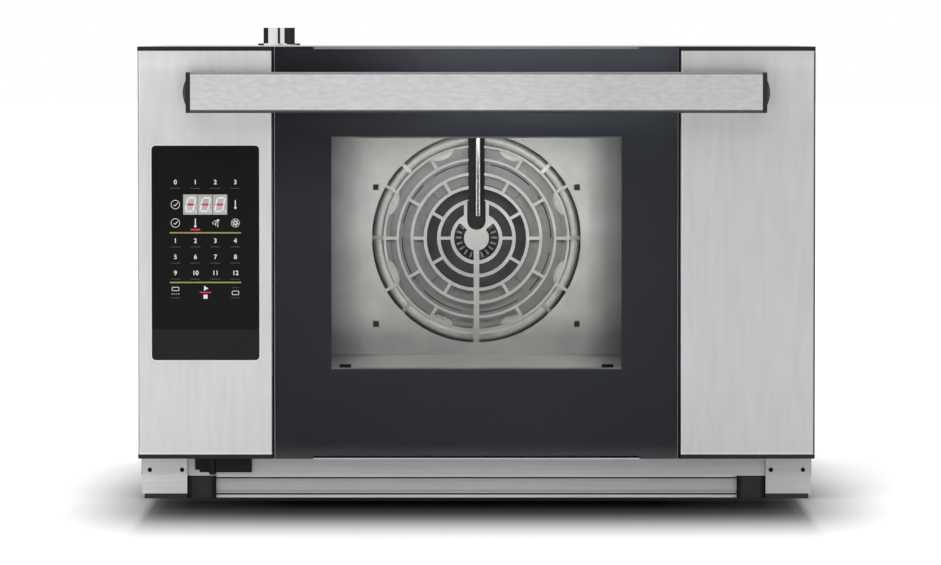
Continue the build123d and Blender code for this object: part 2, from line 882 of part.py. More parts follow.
def make_handle_bar():
    """Flat brushed tube with softly rounded long edges."""
    half = handle_length / 2
    y_mid = handle_front_y + handle_thickness / 2
    outer = RectangleRounded(handle_thickness, handle_height, handle_edge_radius)
    inner = RectangleRounded(handle_thickness - 2 * handle_wall, handle_height - 2 * handle_wall,
                             handle_bore_radius)
    section = Pos(y_mid, handle_center_z) * (outer - inner)
    return Pos(-half, 0, 0) * extrude(Plane.YZ * section, amount=handle_length)


def make_handle_cap():
    """Right end cap: a plug in the tube, a domed end and the leg that stands on the door."""
    end = handle_length / 2
    y_mid = handle_front_y + handle_thickness / 2
    z = handle_center_z
    outer = Pos(y_mid, z) * RectangleRounded(handle_thickness, handle_height, handle_edge_radius)
    plate = Pos(end, 0, 0) * extrude(Plane.YZ * outer, amount=handle_cap_width)
    trim = handle_wall + handle_plug_gap
    plug = block(end - handle_plug_length, end, handle_front_y + trim,
                 handle_front_y + handle_thickness - trim, z - handle_height / 2 + trim + handle_plug_margin,
                 z + handle_height / 2 - trim - handle_plug_margin)
    leg = block(end + handle_cap_width - handle_leg_width, end + handle_cap_width,
                handle_front_y + handle_thickness, door_face_y,
                z - handle_leg_height / 2, z + handle_leg_height / 2)
    leg = fillet(leg.edges().filter_by(Axis.Y), handle_leg_radius)
    dome_radius = (handle_dome ** 2 + handle_dome_half_height ** 2) / (2 * handle_dome)
    dome = rod_y(end + handle_cap_width + handle_dome - dome_radius, handle_front_y + handle_dome_inset,
                 handle_front_y + handle_thickness - handle_dome_inset, z, dome_radius)
    dome &= block(end + handle_cap_width, end + handle_cap_width + handle_dome + 1, handle_front_y,
                  handle_front_y + handle_thickness, z - handle_height, z + handle_height)
    return plate + plug + leg + dome


# Chamber

def chamber_outline(wall):
    """Outline of the chamber's section, seen from the front, with or without its wall."""
    return rounded_rectangle(-chamber_half - wall, chamber_half + wall, chamber_floor_z - wall,
                             chamber_top_z + wall, chamber_corner_radius + wall)


def sheets_at_seams(part):
    """Left, middle and right sheets of a part, parted where the chamber's round corners end."""
    seam_x = chamber_half - chamber_corner_radius
    reach = body_width
    middle = block(-seam_x + chamber_seam / 2, seam_x - chamber_seam / 2, -reach, reach, -reach, reach)
    right = block(seam_x + chamber_seam / 2, reach, -reach, reach, -reach, reach)
    return Compound((part & middle).solids() + (part & right).solids() + (part & mirrored(right)).solids())


def make_front_frame():
    """Flat frame of four welded sheets round the chamber's mouth; its lower edge stands in the base pan."""
    face = rectangle(-cabinet_inner_half, cabinet_inner_half, pan_bottom_z + sheet, body_height - sheet)
    frame = facing(face - chamber_outline(0), frame_y, frame_y + sheet)
    half_height = hinge_arm_half_height + hinge_slot_clearance
    frame -= hinge_slot(frame_y - 1, frame_y + sheet + 1, hinge_pin_z - half_height,
                        hinge_pin_z + half_height)
    return sheets_at_seams(frame)


def element_leg_points():
    """Centres of the four element legs, seen from the front."""
    points = []
    for gap in (element_front_gap_angle, element_rear_gap_angle):
        for side in (-1, 1):
            angle = 270 + side * gap
            x, z = polar(element_radius, angle)
            tangent_x, tangent_z = polar(1, angle + 90)
            step = -side * element_bend_radius
            points.append((x + step * tangent_x, chamber_center_z + z + step * tangent_z))
    return points


def make_chamber_shell():
    """Chamber of five welded sheets, open at the front, with rounded long corners on its side sheets."""
    w = chamber_wall
    wrap = facing(chamber_outline(w) - chamber_outline(0), frame_y + sheet, chamber_back_y - chamber_seam)
    wrap -= rod_z(pipe_x, pipe_y(), chamber_top_z - 1, chamber_top_z + w + 1,
                  pipe_radius + pipe_hole_clearance)
    wrap -= rod_z(chimney_x, chimney_y, chamber_top_z - 1, chamber_top_z + w + 1,
                  chimney_radius - chimney_wall)
    back = facing(chamber_outline(w), chamber_back_y, chamber_back_y + w)
    back -= prism_y(0, chamber_back_y - 1, chamber_back_y + w + 1, chamber_center_z,
                    shaft_radius + shaft_wall_clearance)
    for x, z in element_leg_points():
        back -= prism_y(x, chamber_back_y - 1, chamber_back_y + w + 1, z,
                        element_tube_radius + element_hole_clearance, 8)
    return Compound(sheets_at_seams(wrap).solids() + back.solids())


def make_insulation():
    """Mineral wool: a sleeve round the chamber and a slab behind it."""
    c = wool_clearance
    gap = chamber_wall + c
    x_out = chamber_half + gap + wool_side
    z0, z1 = chamber_floor_z - gap - wool_thickness, wool_top_z
    y0, y1 = frame_y + sheet + c, chamber_back_y + chamber_wall
    sleeve = block(-x_out, x_out, y0, y1, z0, z1)
    sleeve -= block(-chamber_half - gap, chamber_half + gap, y0 - 1, y1 + 1, chamber_floor_z - gap,
                    chamber_top_z + gap)
    sleeve -= rod_z(pipe_x, pipe_y(), chamber_top_z, z1 + 1, pipe_radius + pipe_hole_clearance)
    sleeve -= rod_z(chimney_x, chimney_y, chamber_top_z, z1 + 1, chimney_radius + c)
    slab = block(-x_out, x_out, y1 + c, wool_back_y, z0, z1)
    slab -= prism_y(0, y1, wool_back_y + 1, chamber_center_z, shaft_radius + 2 * shaft_wall_clearance)
    for x, z in element_leg_points():
        slab -= prism_y(x, y1, wool_back_y + 1, z, element_tube_radius + element_hole_clearance, 8)
    return sleeve + slab


def make_door_gasket():
    """Soft seal round the chamber's mouth, just clear of the closed door."""
    o = gasket_offset + gasket_width
    ring = rounded_rectangle(-chamber_half - o, chamber_half + o, chamber_floor_z - o, chamber_top_z + o,
                             chamber_corner_radius + o)
    o = gasket_offset
    ring -= rounded_rectangle(-chamber_half - o, chamber_half + o, chamber_floor_z - o, chamber_top_z + o,
                              chamber_corner_radius + o)
    return facing(ring, door_back_y + gasket_gap, frame_y)


# Fan guard

def guard_slot(half_width, upper_half_width):
    """Open slot for the water pipe, from above the rings down to a round end near the hub."""
    bottom_center = slot_bottom_rise + slot_half_width
    slot = rectangle(-half_width, half_width, bottom_center, slot_step_radius)
    slot += rectangle(-upper_half_width, upper_half_width, slot_step_radius, chamber_height / 2)
    slot += Pos(0, bottom_center) * Circle(half_width)
    return slot


def guard_circle(radius):
    """Round edge in short straight lengths, more of them on the larger circles."""
    sides = guard_sides_inner if radius < 0.3 * guard_radius else guard_sides_middle
    if radius > 0.55 * guard_radius:
        sides = guard_sides_outer
    return RegularPolygon(radius, sides)


def guard_ring(inner_share, outer_share, spoke_angles):
    """One ring of openings, cut by its spokes and by the bar below the hub."""
    inner, outer = inner_share * guard_radius, outer_share * guard_radius
    ring = guard_circle(outer) - guard_circle(inner)
    length = outer - inner + 2
    for angle in spoke_angles:
        x, z = polar((inner + outer) / 2, angle)
        ring -= Pos(x, z) * Rot(0, 0, angle) * Rectangle(length, spoke_width)
    return ring - rectangle(-center_bar_width / 2, center_bar_width / 2, -outer - 1, 0)


def hub_gusset():
    """Solid sector above the hub, between the pipe slot and the first ring."""
    reach = ring_openings[0][1] * guard_radius * 1.6
    right, left = polar(reach, hub_gusset_angle), polar(reach, 180 - hub_gusset_angle)
    return make_face(Polyline((0, 0), right, (0, reach * 1.5), left, close=True))


def make_fan_baffle():
    """Sheet wall in front of the fan, pierced as a round guard with a slot for the water pipe."""
    plate = Rectangle(2 * baffle_half_width, 2 * baffle_half_height)
    rim = guard_slot(slot_half_width + slot_rim, slot_upper_half_width)
    slot = guard_slot(slot_half_width, slot_upper_half_width)
    for index, (inner, outer, spoke_angles) in enumerate(ring_openings):
        ring = guard_ring(inner, outer, spoke_angles)
        if index == 0:
            ring -= hub_gusset()
        ring -= rim
        plate -= ring
    plate -= slot
    for x in (-lance_x, lance_x):
        for rise in (lance_rise, -lance_drop):
            plate -= Pos(x, rise) * Rectangle(lance_hole, lance_hole)
    return Pos(0, 0, chamber_center_z) * facing(plate, baffle_y, baffle_y + sheet)


def make_pipe_channel():
    """Dark channel that closes the slot behind the water pipe and stays clear of the fan's nut."""
    front = baffle_y + sheet
    floor_y = pipe_y() + pipe_radius + channel_pipe_gap
    o = channel_overlap
    i = channel_wall - channel_overlap
    outer = guard_slot(slot_half_width + o, slot_upper_half_width + o)
    inner = guard_slot(slot_half_width - i, slot_upper_half_width - i)
    limit = Rectangle(2 * baffle_half_width, 2 * baffle_half_height) - Circle(channel_nut_space)
    channel = facing(outer & limit, front, floor_y + channel_wall) - facing(inner, front - 1, floor_y)
    return Pos(0, 0, chamber_center_z) * channel


def make_baffle_posts():
    """Four posts that hold the baffle off the chamber's rear wall."""
    posts = None
    for x in (-post_x, post_x):
        for z in (chamber_center_z - post_rise, chamber_center_z + post_rise):
            post = prism_y(x, baffle_y + sheet, chamber_back_y, z, post_radius, 8)
            posts = post if posts is None else posts + post
    return posts


def pipe_y():
    """The pipe hangs in the guard's slot, level with the baffle."""
    return baffle_y + sheet / 2


def make_water_pipe():
    """Polished pipe: in from the valve, forward over the chamber and down in front of the fan."""
    y, z = pipe_y(), pipe_run_z - pipe_bend_radius
    points = [(pipe_x, y, pipe_tip_z)]
    for step in range(pipe_bend_steps + 1):
        turn = math.pi / 2 * step / pipe_bend_steps
        points.append((pipe_x, y + pipe_bend_radius * (1 - math.cos(turn)),
                       z + pipe_bend_radius * math.sin(turn)))
    points.append((pipe_x, valve_front_y(), pipe_run_z))
    start = Plane(origin=points[0], z_dir=(0, 0, 1))
    pipe = sweep(start * RegularPolygon(pipe_radius, pipe_sides), path=Polyline(*points),
                 transition=Transition.RIGHT)
    bore = extrude(start * RegularPolygon(pipe_bore_radius, pipe_sides), amount=pipe_bore_depth)
    return pipe - bore


# Heating elements

def element_end(y, angle, side):
    """Points from one end of the ring round its bend and back through the chamber's rear wall."""
    x, z = polar(element_radius, angle)
    tangent_x, tangent_z = polar(1, angle + 90)
    points = []
    for step in range(element_bend_steps + 1):
        turn = math.pi / 2 * step / element_bend_steps
        along = side * element_bend_radius * math.sin(turn)
        back = element_bend_radius * (1 - math.cos(turn))
        points.append((x + along * tangent_x, y + back, chamber_center_z + z + along * tangent_z))
    leg_x, _, leg_z = points[-1]
    return points + [(leg_x, bulkhead_back_y + element_leg_tail, leg_z)]


def element_ring(y, gap_angle):
    """One ring element: an open circle of short mitred lengths, whose two ends bend back."""
    start, span = 270 + gap_angle, 360 - 2 * gap_angle
    points = element_end(y, start, -1)[::-1]
    for step in range(1, element_ring_steps):
        x, z = polar(element_radius, start + span * step / element_ring_steps)
        points.append((x, y, chamber_center_z + z))
    points += element_end(y, start + span, 1)
    path = Polyline(*points)
    section = Plane(origin=points[0], z_dir=path % 0) * RegularPolygon(element_tube_radius, element_sides)
    return sweep(section, path=path, transition=Transition.RIGHT)


def make_heating_element():
    """Two ring elements, one behind the other, round the fan."""
    front_y = baffle_y + sheet + fan_front_gap + element_front_setback
    return (element_ring(front_y, element_front_gap_angle)
            + element_ring(front_y + element_pitch, element_rear_gap_angle))


def make_element_clips():
    """Strips on the rear wall that hold both rings from outside and from the front."""
    front_y = baffle_y + sheet + fan_front_gap + element_front_setback - element_tube_radius
    inner = element_radius + element_tube_radius + element_clip_gap
    y0 = front_y - element_clip_gap - clip_strip_thickness
    strip = block(inner, inner + clip_strip_thickness, y0, chamber_back_y, -clip_strip_width / 2,
                  clip_strip_width / 2)
    tab = block(inner - clip_tab_reach, inner + clip_strip_thickness, y0, y0 + clip_strip_thickness,
                -clip_strip_width / 4, clip_strip_width / 4)
    clip = strip + tab
    clips = None
    for angle in element_clip_angles:
        placed = Pos(0, 0, chamber_center_z) * Rot(0, -angle, 0) * clip
        clips = placed if clips is None else clips + placed
    return clips


# Fan

def make_fan_wheel():
    """Centrifugal wheel: back disc, radial vanes and a scalloped front ring."""
    ring = RegularPolygon(fan_radius, fan_sides) - RegularPolygon(fan_eye_radius, fan_sides)
    for i in range(fan_blades):
        x, z = polar(fan_radius - scallop_depth + scallop_radius, 360 / fan_blades * (i + 0.5))
        ring -= Pos(x, z) * Circle(scallop_radius)
    wheel = facing(ring, fan_front_y, fan_front_y + fan_sheet)
    back = RegularPolygon(fan_radius, fan_sides) - Circle(shaft_radius)
    wheel += facing(back, fan_back_y, fan_back_y + fan_sheet)
    hub = many_sided(fan_hub_radius, 16) - Circle(shaft_radius)
    wheel += facing(hub, fan_front_y + fan_sheet, fan_back_y + fan_sheet)
    blade = block(fan_eye_radius + 0.5, fan_radius - scallop_depth, fan_front_y + fan_sheet / 2,
                  fan_back_y + fan_sheet / 2, -fan_sheet / 2, fan_sheet / 2)
    for i in range(fan_blades):
        wheel += Rot(0, -360 / fan_blades * i, 0) * blade
    return Pos(0, 0, chamber_center_z) * wheel


def make_fan_nut():
    """Cap nut on the shaft's end: a hexagon with a low round crown."""
    hub_front = fan_front_y + fan_sheet
    body = facing(RegularPolygon(nut_across_flats / 2, 6, major_radius=False), hub_front - nut_thickness,
                  hub_front)
    body += prism_y(0, hub_front - nut_thickness - nut_crown, hub_front - nut_thickness, 0,
                    nut_crown_share * nut_across_flats / 2)
    body -= rod_y(0, hub_front - shaft_stud_length, hub_front + 1, 0, shaft_stud_radius)
    return Pos(0, 0, chamber_center_z) * body


def make_motor_shaft():
    """Stepped shaft from the nut back into the motor."""
    hub_front = fan_front_y + fan_sheet
    shaft = rod_y(0, hub_front, bulkhead_back_y + shaft_bore_depth - 1, chamber_center_z, shaft_radius)
    return shaft + rod_y(0, hub_front - shaft_stud_length, hub_front, chamber_center_z, shaft_stud_radius)


def make_fan_motor():
    """Motor on the bulkhead: front bell, square stack with rounded corners and rear bell."""
    y0 = bulkhead_back_y
    y1 = y0 + motor_bell_depth
    y2 = y1 + motor_stack_depth
    z = chamber_center_z
    half = motor_stack_size / 2
    motor = prism_y(0, y0, y1, z, motor_bell_radius, 20)
    motor += facing(rounded_rectangle(-half, half, z - half, z + half, motor_corner_radius), y1, y2)
    motor += prism_y(0, y2, y2 + motor_rear_depth, z, motor_rear_radius, 20)
    return motor - rod_y(0, y0 - 1, y0 + shaft_bore_depth, z, shaft_radius + shaft_bearing_clearance)


# Tray racks

def make_tray_rack():
    """Right rack: two flat posts on the chamber wall and one folded ledge on them for each tray."""
    outer = chamber_half
    inner = outer - rack_reach
    y0, y1 = frame_y + rack_front_setback, baffle_y - rack_back_gap
    post_inner = outer - rack_post_thickness
    pieces = []
    z0, z1 = chamber_floor_z + chamber_corner_radius, chamber_top_z - chamber_corner_radius
    for y in (y0 + rack_flange, y1 - rack_flange - rack_post_width):
        pieces.append(block(post_inner, outer, y, y + rack_post_width, z0, z1))
    for level in range(rack_levels):
        z = chamber_floor_z + rack_first_rise + level * rack_pitch
        points = [(inner, z), (post_inner, z), (post_inner, z + rack_flange),
                  (post_inner - rack_thickness, z + rack_flange),
                  (post_inner - rack_thickness, z + rack_thickness), (inner, z + rack_thickness)]
        outline = make_face(Polyline(*points, close=True))
        pieces.append(facing(outline, y0, y1))
    return Compound([piece.solid() for piece in pieces])


# Outer casing

def make_top_cover():
    """Flat top with its long sides bent down inside the side panels."""
    z0 = body_height - sheet
    cover = block(-cabinet_half, cabinet_half, frame_y, rear_inner_y, z0, body_height)
    flange = block(cabinet_inner_half - sheet, cabinet_inner_half, frame_y + sheet, rear_inner_y - top_return,
                   z0 - top_return, z0)
    cover += flange + mirrored(flange)
    hole_radius = chimney_radius + chimney_hole_clearance
    return cover - rod_z(chimney_x, chimney_y, z0 - 1, body_height + 1, hole_radius)


def make_side_panel():
    """Right side panel with its lower edge bent in over the base pan."""
    panel = block(cabinet_inner_half, cabinet_half, frame_y, rear_inner_y, base_top_z, body_height - sheet)
    lower = block(cabinet_inner_half - top_return, cabinet_inner_half,
                  frame_y + sheet + hinge_flange_thickness, rear_inner_y - top_return,
                  base_top_z, base_top_z + sheet)
    return panel + lower


def make_rear_cover():
    """Rear wall with vents, the fan grille and the openings of the rear fittings."""
    cover = rectangle(-cabinet_half, cabinet_half, base_top_z, body_height)
    for side in (-1, 1):
        for i in range(louvre_count):
            z = louvre_bottom_z + i * louvre_pitch
            cover -= Pos(side * louvre_x, z) * Rectangle(louvre_width, louvre_height)
    reach = cooling_fan_bore_radius - 1
    for i in range(grille_slots):
        offset = (i - (grille_slots - 1) / 2) * grille_pitch
        length = 2 * math.sqrt(max(reach ** 2 - offset ** 2, reach))
        cover -= Pos(cooling_fan_x, cooling_fan_z + offset) * Rectangle(length, grille_pitch / 2)
    cover -= Pos(gland_x, gland_z) * many_sided(gland_radius * gland_stem_share)
    cover -= Pos(pipe_x, pipe_run_z) * Circle(inlet_radius)
    cover -= Pos(thermostat_x, thermostat_z) * many_sided(button_radius + button_hole_clearance)
    plate = facing(cover, rear_inner_y, rear_face_y)
    flange = block(cabinet_inner_half - sheet, cabinet_inner_half, rear_inner_y - top_return, rear_inner_y,
                   base_top_z, body_height - sheet)
    return plate + flange + mirrored(flange)


def make_bulkhead():
    """Inner rear wall that carries the motor and the electrics."""
    z1 = body_height - sheet - top_return
    wall = rectangle(-cabinet_inner_half, cabinet_inner_half, pan_bottom_z + sheet, z1)
    wall -= Pos(0, chamber_center_z) * many_sided(shaft_radius + shaft_wall_clearance)
    wall -= Pos(pipe_x, pipe_run_z) * many_sided(pipe_radius + pipe_hole_clearance)
    for x, z in element_leg_points():
        wall -= Pos(x, z) * many_sided(element_tube_radius + element_hole_clearance, 8)
    notch = rectangle(cabinet_inner_half - top_return, cabinet_inner_half, base_top_z, base_top_z + sheet)
    wall -= notch + mirror(notch, about=Plane.YZ)
    return facing(wall, bulkhead_y, bulkhead_back_y)


def make_chimney_pipe():
    """Steam outlet tube from the chamber's roof through the top cover, with a flange on the cover."""
    z0, z1 = chamber_top_z + chamber_wall, body_height + chimney_height
    tube = rod_z(chimney_x, chimney_y, z0, z1, chimney_radius)
    flange = Pos(chimney_x, chimney_y, body_height) * extrude(many_sided(chimney_flange_radius, 32),
                                                              amount=chimney_flange_thickness)
    bore = rod_z(chimney_x, chimney_y, z0 - 1, z1 + 1, chimney_radius - chimney_wall)
    return tube + flange - bore


# Electrics

def valve_front_y():
    return bulkhead_back_y + valve_gap


def make_water_valve():
    """Inlet valve inside the rear cover, with its threaded stub outside."""
    half = valve_width / 2
    body = block(pipe_x - half, pipe_x + half, valve_front_y(), rear_inner_y, pipe_run_z - valve_height / 2,
                 pipe_run_z + valve_height / 2 - valve_top_step)
    stub = rod_y(pipe_x, rear_inner_y, rear_tip_y, pipe_run_z, inlet_radius)
    collar = prism_y(pipe_x, rear_face_y, rear_face_y + inlet_collar_depth, pipe_run_z, inlet_collar_radius)
    bore = prism_y(pipe_x, rear_face_y, rear_tip_y + 1, pipe_run_z, inlet_bore_radius)
    return body + stub + collar - bore


def make_cable_gland():
    """Cable gland in the rear cover: hexagon, dome and bore."""
    dome_y = rear_face_y + gland_hexagon_depth
    hexagon = facing(RegularPolygon(gland_flat / 2, 6, major_radius=False), rear_face_y, dome_y)
    dome = prism_y(0, dome_y, rear_tip_y, 0, gland_radius - gland_dome_inset)
    stem = prism_y(0, rear_inner_y - gland_stem_depth, rear_face_y, 0, gland_radius * gland_stem_share)
    nut = facing(RegularPolygon(gland_flat / 2, 6, major_radius=False), rear_inner_y - gland_nut_depth,
                 rear_inner_y)
    bore = rod_y(0, rear_inner_y - gland_stem_depth - 1, rear_tip_y + 1, 0, gland_bore_radius)
    return Pos(gland_x, 0, gland_z) * (hexagon + dome + stem + nut - bore)


def make_power_board():
    """Circuit board on four standoffs, with relays, a transformer and capacitors."""
    x0, z0 = power_board_x - power_board_width / 2, power_board_z - power_board_height / 2
    x1, z1 = x0 + power_board_width, z0 + power_board_height
    y0 = bulkhead_back_y + power_board_standoff
    y1 = y0 + board_thickness
    board = block(x0, x1, y0, y1, z0, z1)
    for x in (x0 + standoff_inset, x1 - standoff_inset):
        for z in (z0 + standoff_inset, z1 - standoff_inset):
            board += prism_y(x, bulkhead_back_y, y0, z, standoff_radius, 6)
    for i in range(relay_count):
        x = x0 + relay_margin + i * relay_pitch
        board += block(x, x + relay_width, y1, y1 + relay_depth, z0 + relay_margin,
                       z0 + relay_margin + relay_height)
    x, z = x0 + transformer_margin, z1 - transformer_margin
    board += block(x, x + transformer_width, y1, y1 + transformer_depth, z - transformer_height, z)
    for i in range(capacitor_count):
        board += prism_y(x1 - capacitor_margin - i * capacitor_pitch, y1, y1 + capacitor_depth,
                         z - transformer_height / 2, capacitor_radius)
    return board


def make_terminal_block():
    """Row of screw terminals for the supply wires."""
    width = terminal_poles * terminal_pole_width
    x0 = terminal_x - width / 2
    y0, y1 = bulkhead_back_y, bulkhead_back_y + terminal_depth
    z0, z1 = terminal_z - terminal_height / 2, terminal_z + terminal_height / 2
    body = block(x0, x0 + width, y0, y1, z0, z1)
    for i in range(terminal_poles):
        x = x0 + (i + 0.5) * terminal_pole_width
        half = terminal_opening / 2
        body -= block(x - half, x + half, y1 - terminal_well_depth, y1 + 1, terminal_z - half,
                      terminal_z + half)
        body -= block(x - half, x + half, y0 + terminal_floor, y1 - terminal_well_depth - terminal_floor / 2,
                      z0 - 1, z0 + terminal_opening)
    for i in range(1, terminal_poles):
        x = x0 + i * terminal_pole_width
        body += block(x - terminal_rib / 2, x + terminal_rib / 2, y1, y1 + terminal_rib_height, z0, z1)
    return body


def make_cooling_fan_frame():
    """Square frame of the small fan: round duct, three struts and the pin that carries the rotor."""
    half = cooling_fan_size / 2
    y0, y1 = rear_inner_y - cooling_fan_depth, rear_inner_y
    outline = RectangleRounded(cooling_fan_size, cooling_fan_size, cooling_fan_corner_radius)
    frame = facing(outline - many_sided(cooling_fan_bore_radius, 24), y0, y1)
    for i in range(3):
        strut = block(0, cooling_fan_bore_radius + 1, y0, y0 + cooling_strut_depth, -cooling_strut_width / 2,
                      cooling_strut_width / 2)
        frame += Rot(0, 90 + 120 * i, 0) * strut
    frame += prism_y(0, y0, y0 + cooling_strut_depth, 0, cooling_hub_radius, 14)
    frame += rod_y(0, y0, y1 - cooling_pin_end_gap, 0, cooling_pin_radius)
    return Pos(cooling_fan_x, 0, cooling_fan_z) * frame


def make_cooling_fan_rotor():
    """Rotor of the small fan: hub and twisted blades."""
    y0 = rear_inner_y - cooling_fan_depth + cooling_strut_depth + cooling_rotor_front_gap
    y1 = rear_inner_y - cooling_rotor_back_gap
    tip = cooling_fan_bore_radius - cooling_blade_gap
    rotor = prism_y(0, y0, y1, 0, cooling_hub_radius, 14)
    blade_middle = Pos((cooling_hub_radius + tip) / 2, (y0 + y1) / 2, 0)
    blade = blade_middle * Rot(cooling_blade_pitch, 0, 0) * Box(tip - cooling_hub_radius + 1,
                                                                cooling_blade_thickness, cooling_blade_chord)
    shell = rod_y(0, y0, y1, 0, tip)
    for i in range(cooling_blades):
        rotor += (Rot(0, 360 / cooling_blades * i, 0) * blade) & shell
    rotor -= rod_y(0, y0 - 1, y1 - cooling_rotor_cap + 1, 0, cooling_pin_radius + cooling_pin_clearance)
    return Pos(cooling_fan_x, 0, cooling_fan_z) * rotor


def make_safety_thermostat():
    """Round thermostat on the rear cover, with the bore of its reset button."""
    y0 = rear_inner_y - thermostat_depth
    body = prism_y(thermostat_x, y0, rear_inner_y, thermostat_z, thermostat_radius, 16)
    bore = rod_y(thermostat_x, y0 + thermostat_floor, rear_inner_y + 1, thermostat_z,
                 button_radius + button_clearance)
    return body - bore


def make_reset_button():
    y0 = rear_inner_y - thermostat_depth + thermostat_floor + button_travel + button_end_gap
    return rod_y(thermostat_x, y0, rear_face_y + button_proud, thermostat_z, button_radius)


right_corner_plate = make_corner_plate()
right_foot = make_foot()
right_rear_foot = make_rear_foot()
right_hinge_arm = make_hinge_arm()
right_hinge_pin = make_hinge_pin()
right_hinge_ears = make_hinge_ears()
right_door_panel = make_door_panel()
right_glass_clip = make_inner_glass_clip()
right_light_bar = make_light_bar()
right_handle_cap = make_handle_cap()
right_tray_rack = make_tray_rack()
right_side_panel = make_side_panel()

nodes = {
    "base_pan": make_base_pan(),
    "front_sill": make_front_sill(),
    "lower_fascia": make_lower_fascia(),
    "corner_plate_left": mirrored(right_corner_plate),
    "corner_plate_right": right_corner_plate,
    "foot_front_left": mirrored(right_foot),
    "foot_front_right": right_foot,
    "rear_feet": right_rear_foot + mirrored(right_rear_foot),
    "cable_guide": make_cable_guide(),
    "hinge_arm_left": mirrored(right_hinge_arm),
    "hinge_arm_right": right_hinge_arm,
    "hinge_pins": right_hinge_pin + mirrored(right_hinge_pin),
    "front_frame": make_front_frame(),
    "chamber_shell": make_chamber_shell(),
    "insulation": make_insulation(),
    "fan_baffle": make_fan_baffle(),
    "pipe_channel": make_pipe_channel(),
    "baffle_posts": make_baffle_posts(),
    "water_pipe": make_water_pipe(),
    "heating_element": make_heating_element(),
    "element_clips": make_element_clips(),
    "tray_rack_left": mirrored(right_tray_rack),
    "tray_rack_right": right_tray_rack,
    "door_gasket": make_door_gasket(),
    "top_cover": make_top_cover(),
    "side_panel_left": mirrored(right_side_panel),
    "side_panel_right": right_side_panel,
    "rear_cover": make_rear_cover(),
    "chimney_pipe": make_chimney_pipe(),
    "rear_bulkhead": make_bulkhead(),
    "fan_motor": make_fan_motor(),
    "power_board": make_power_board(),
    "terminal_block": make_terminal_block(),
    "cooling_fan_frame": make_cooling_fan_frame(),
    "water_valve": make_water_valve(),
    "cable_gland": make_cable_gland(),
    "safety_thermostat": make_safety_thermostat(),
    "reset_button": make_reset_button(),
    "cooling_fan_rotor": make_cooling_fan_rotor(),
    "fan_wheel": make_fan_wheel(),
    "fan_nut": make_fan_nut(),
    "motor_shaft": make_motor_shaft(),
    "door_outer_glass": make_outer_glass(),
    "door_glass_mask": make_glass_mask(),
    "door_panel_left": make_left_door_panel(),
    "door_panel_right": right_door_panel,
    "door_top_profile": make_door_profile(True),
    "door_bottom_profile": make_door_profile(False),
    "door_inner_panel": make_door_inner_panel(),
    "door_inner_glass": make_inner_glass(),
    "inner_glass_clips": right_glass_clip + mirrored(right_glass_clip),
    "door_light_bars": right_light_bar + mirrored(right_light_bar),
    "control_housing": make_control_housing(),
    "control_face": make_control_face(),
    "control_display": make_control_display(),
    "control_lower_cover": make_control_lower_cover(),
    "control_board": make_control_board(),
    "handle_bar": make_handle_bar(),
    "handle_cap_left": mirrored(right_handle_cap),
    "handle_cap_right": right_handle_cap,
    "door_hinge_ears": right_hinge_ears + mirrored(right_hinge_ears),
}

os.makedirs("parts", exist_ok=True)
for name, part in nodes.items():
    export_step(part, f"parts/{name}.step")
print(len(nodes), "nodes written")
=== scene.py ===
# %% [markdown]
# # A counter-top convection oven
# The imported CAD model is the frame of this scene. It gives every rigid piece its shape, size and place.
# This lesson gives the pieces their finish, adds the fine details that CAD leaves out, such as the signs on
# the control panel, and sets up the light and the camera of the photograph.

# %% Load the frame
import math

import bpy
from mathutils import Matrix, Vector


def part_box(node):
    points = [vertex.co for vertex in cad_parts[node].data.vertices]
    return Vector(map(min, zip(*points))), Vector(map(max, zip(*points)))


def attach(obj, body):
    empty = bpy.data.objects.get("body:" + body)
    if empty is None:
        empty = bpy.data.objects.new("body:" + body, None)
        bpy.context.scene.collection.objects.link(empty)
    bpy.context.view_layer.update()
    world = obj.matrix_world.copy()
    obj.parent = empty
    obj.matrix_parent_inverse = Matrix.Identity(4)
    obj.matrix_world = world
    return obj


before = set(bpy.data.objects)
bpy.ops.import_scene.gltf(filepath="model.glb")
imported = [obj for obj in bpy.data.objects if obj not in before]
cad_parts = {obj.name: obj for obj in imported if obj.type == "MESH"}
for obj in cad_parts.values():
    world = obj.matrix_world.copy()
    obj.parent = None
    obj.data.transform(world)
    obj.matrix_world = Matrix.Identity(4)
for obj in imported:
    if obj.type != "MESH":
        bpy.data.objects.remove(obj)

# %% [markdown]
# All sizes are in metres. The places of the sub-parts are read from the frame, so the details follow when
# the CAD model changes. Every loaded object is deselected, because the operators below act on what is
# selected.

# %% Read the places from the frame
bpy.ops.object.select_all(action="DESELECT")
millimetre = 0.001
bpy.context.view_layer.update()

glass_low, glass_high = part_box("door_outer_glass")
control_low, control_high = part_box("control_face")
display_low, display_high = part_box("control_display")
handle_low, handle_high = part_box("handle_bar")
baffle_low, baffle_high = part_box("fan_baffle")
chamber_low, chamber_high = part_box("chamber_shell")
print("Door face at y =", round(glass_low.y, 4), "m, baffle at y =", round(baffle_low.y, 4), "m")

# %% [markdown]
# ## Finishes
# One function makes every surface. A noise pattern, stretched along the grain, moves the colour between two
# close tones and changes the roughness a little, so that no surface is one flat colour.

# %% A surface with a grain
def linear(tone):
    """Linear light from a tone as a picture shows it, from 0 to 255."""
    value = tone / 255
    return value / 12.92 if value <= 0.04045 else ((value + 0.055) / 1.055) ** 2.4


def colour(red, green, blue):
    return (linear(red), linear(green), linear(blue), 1.0)


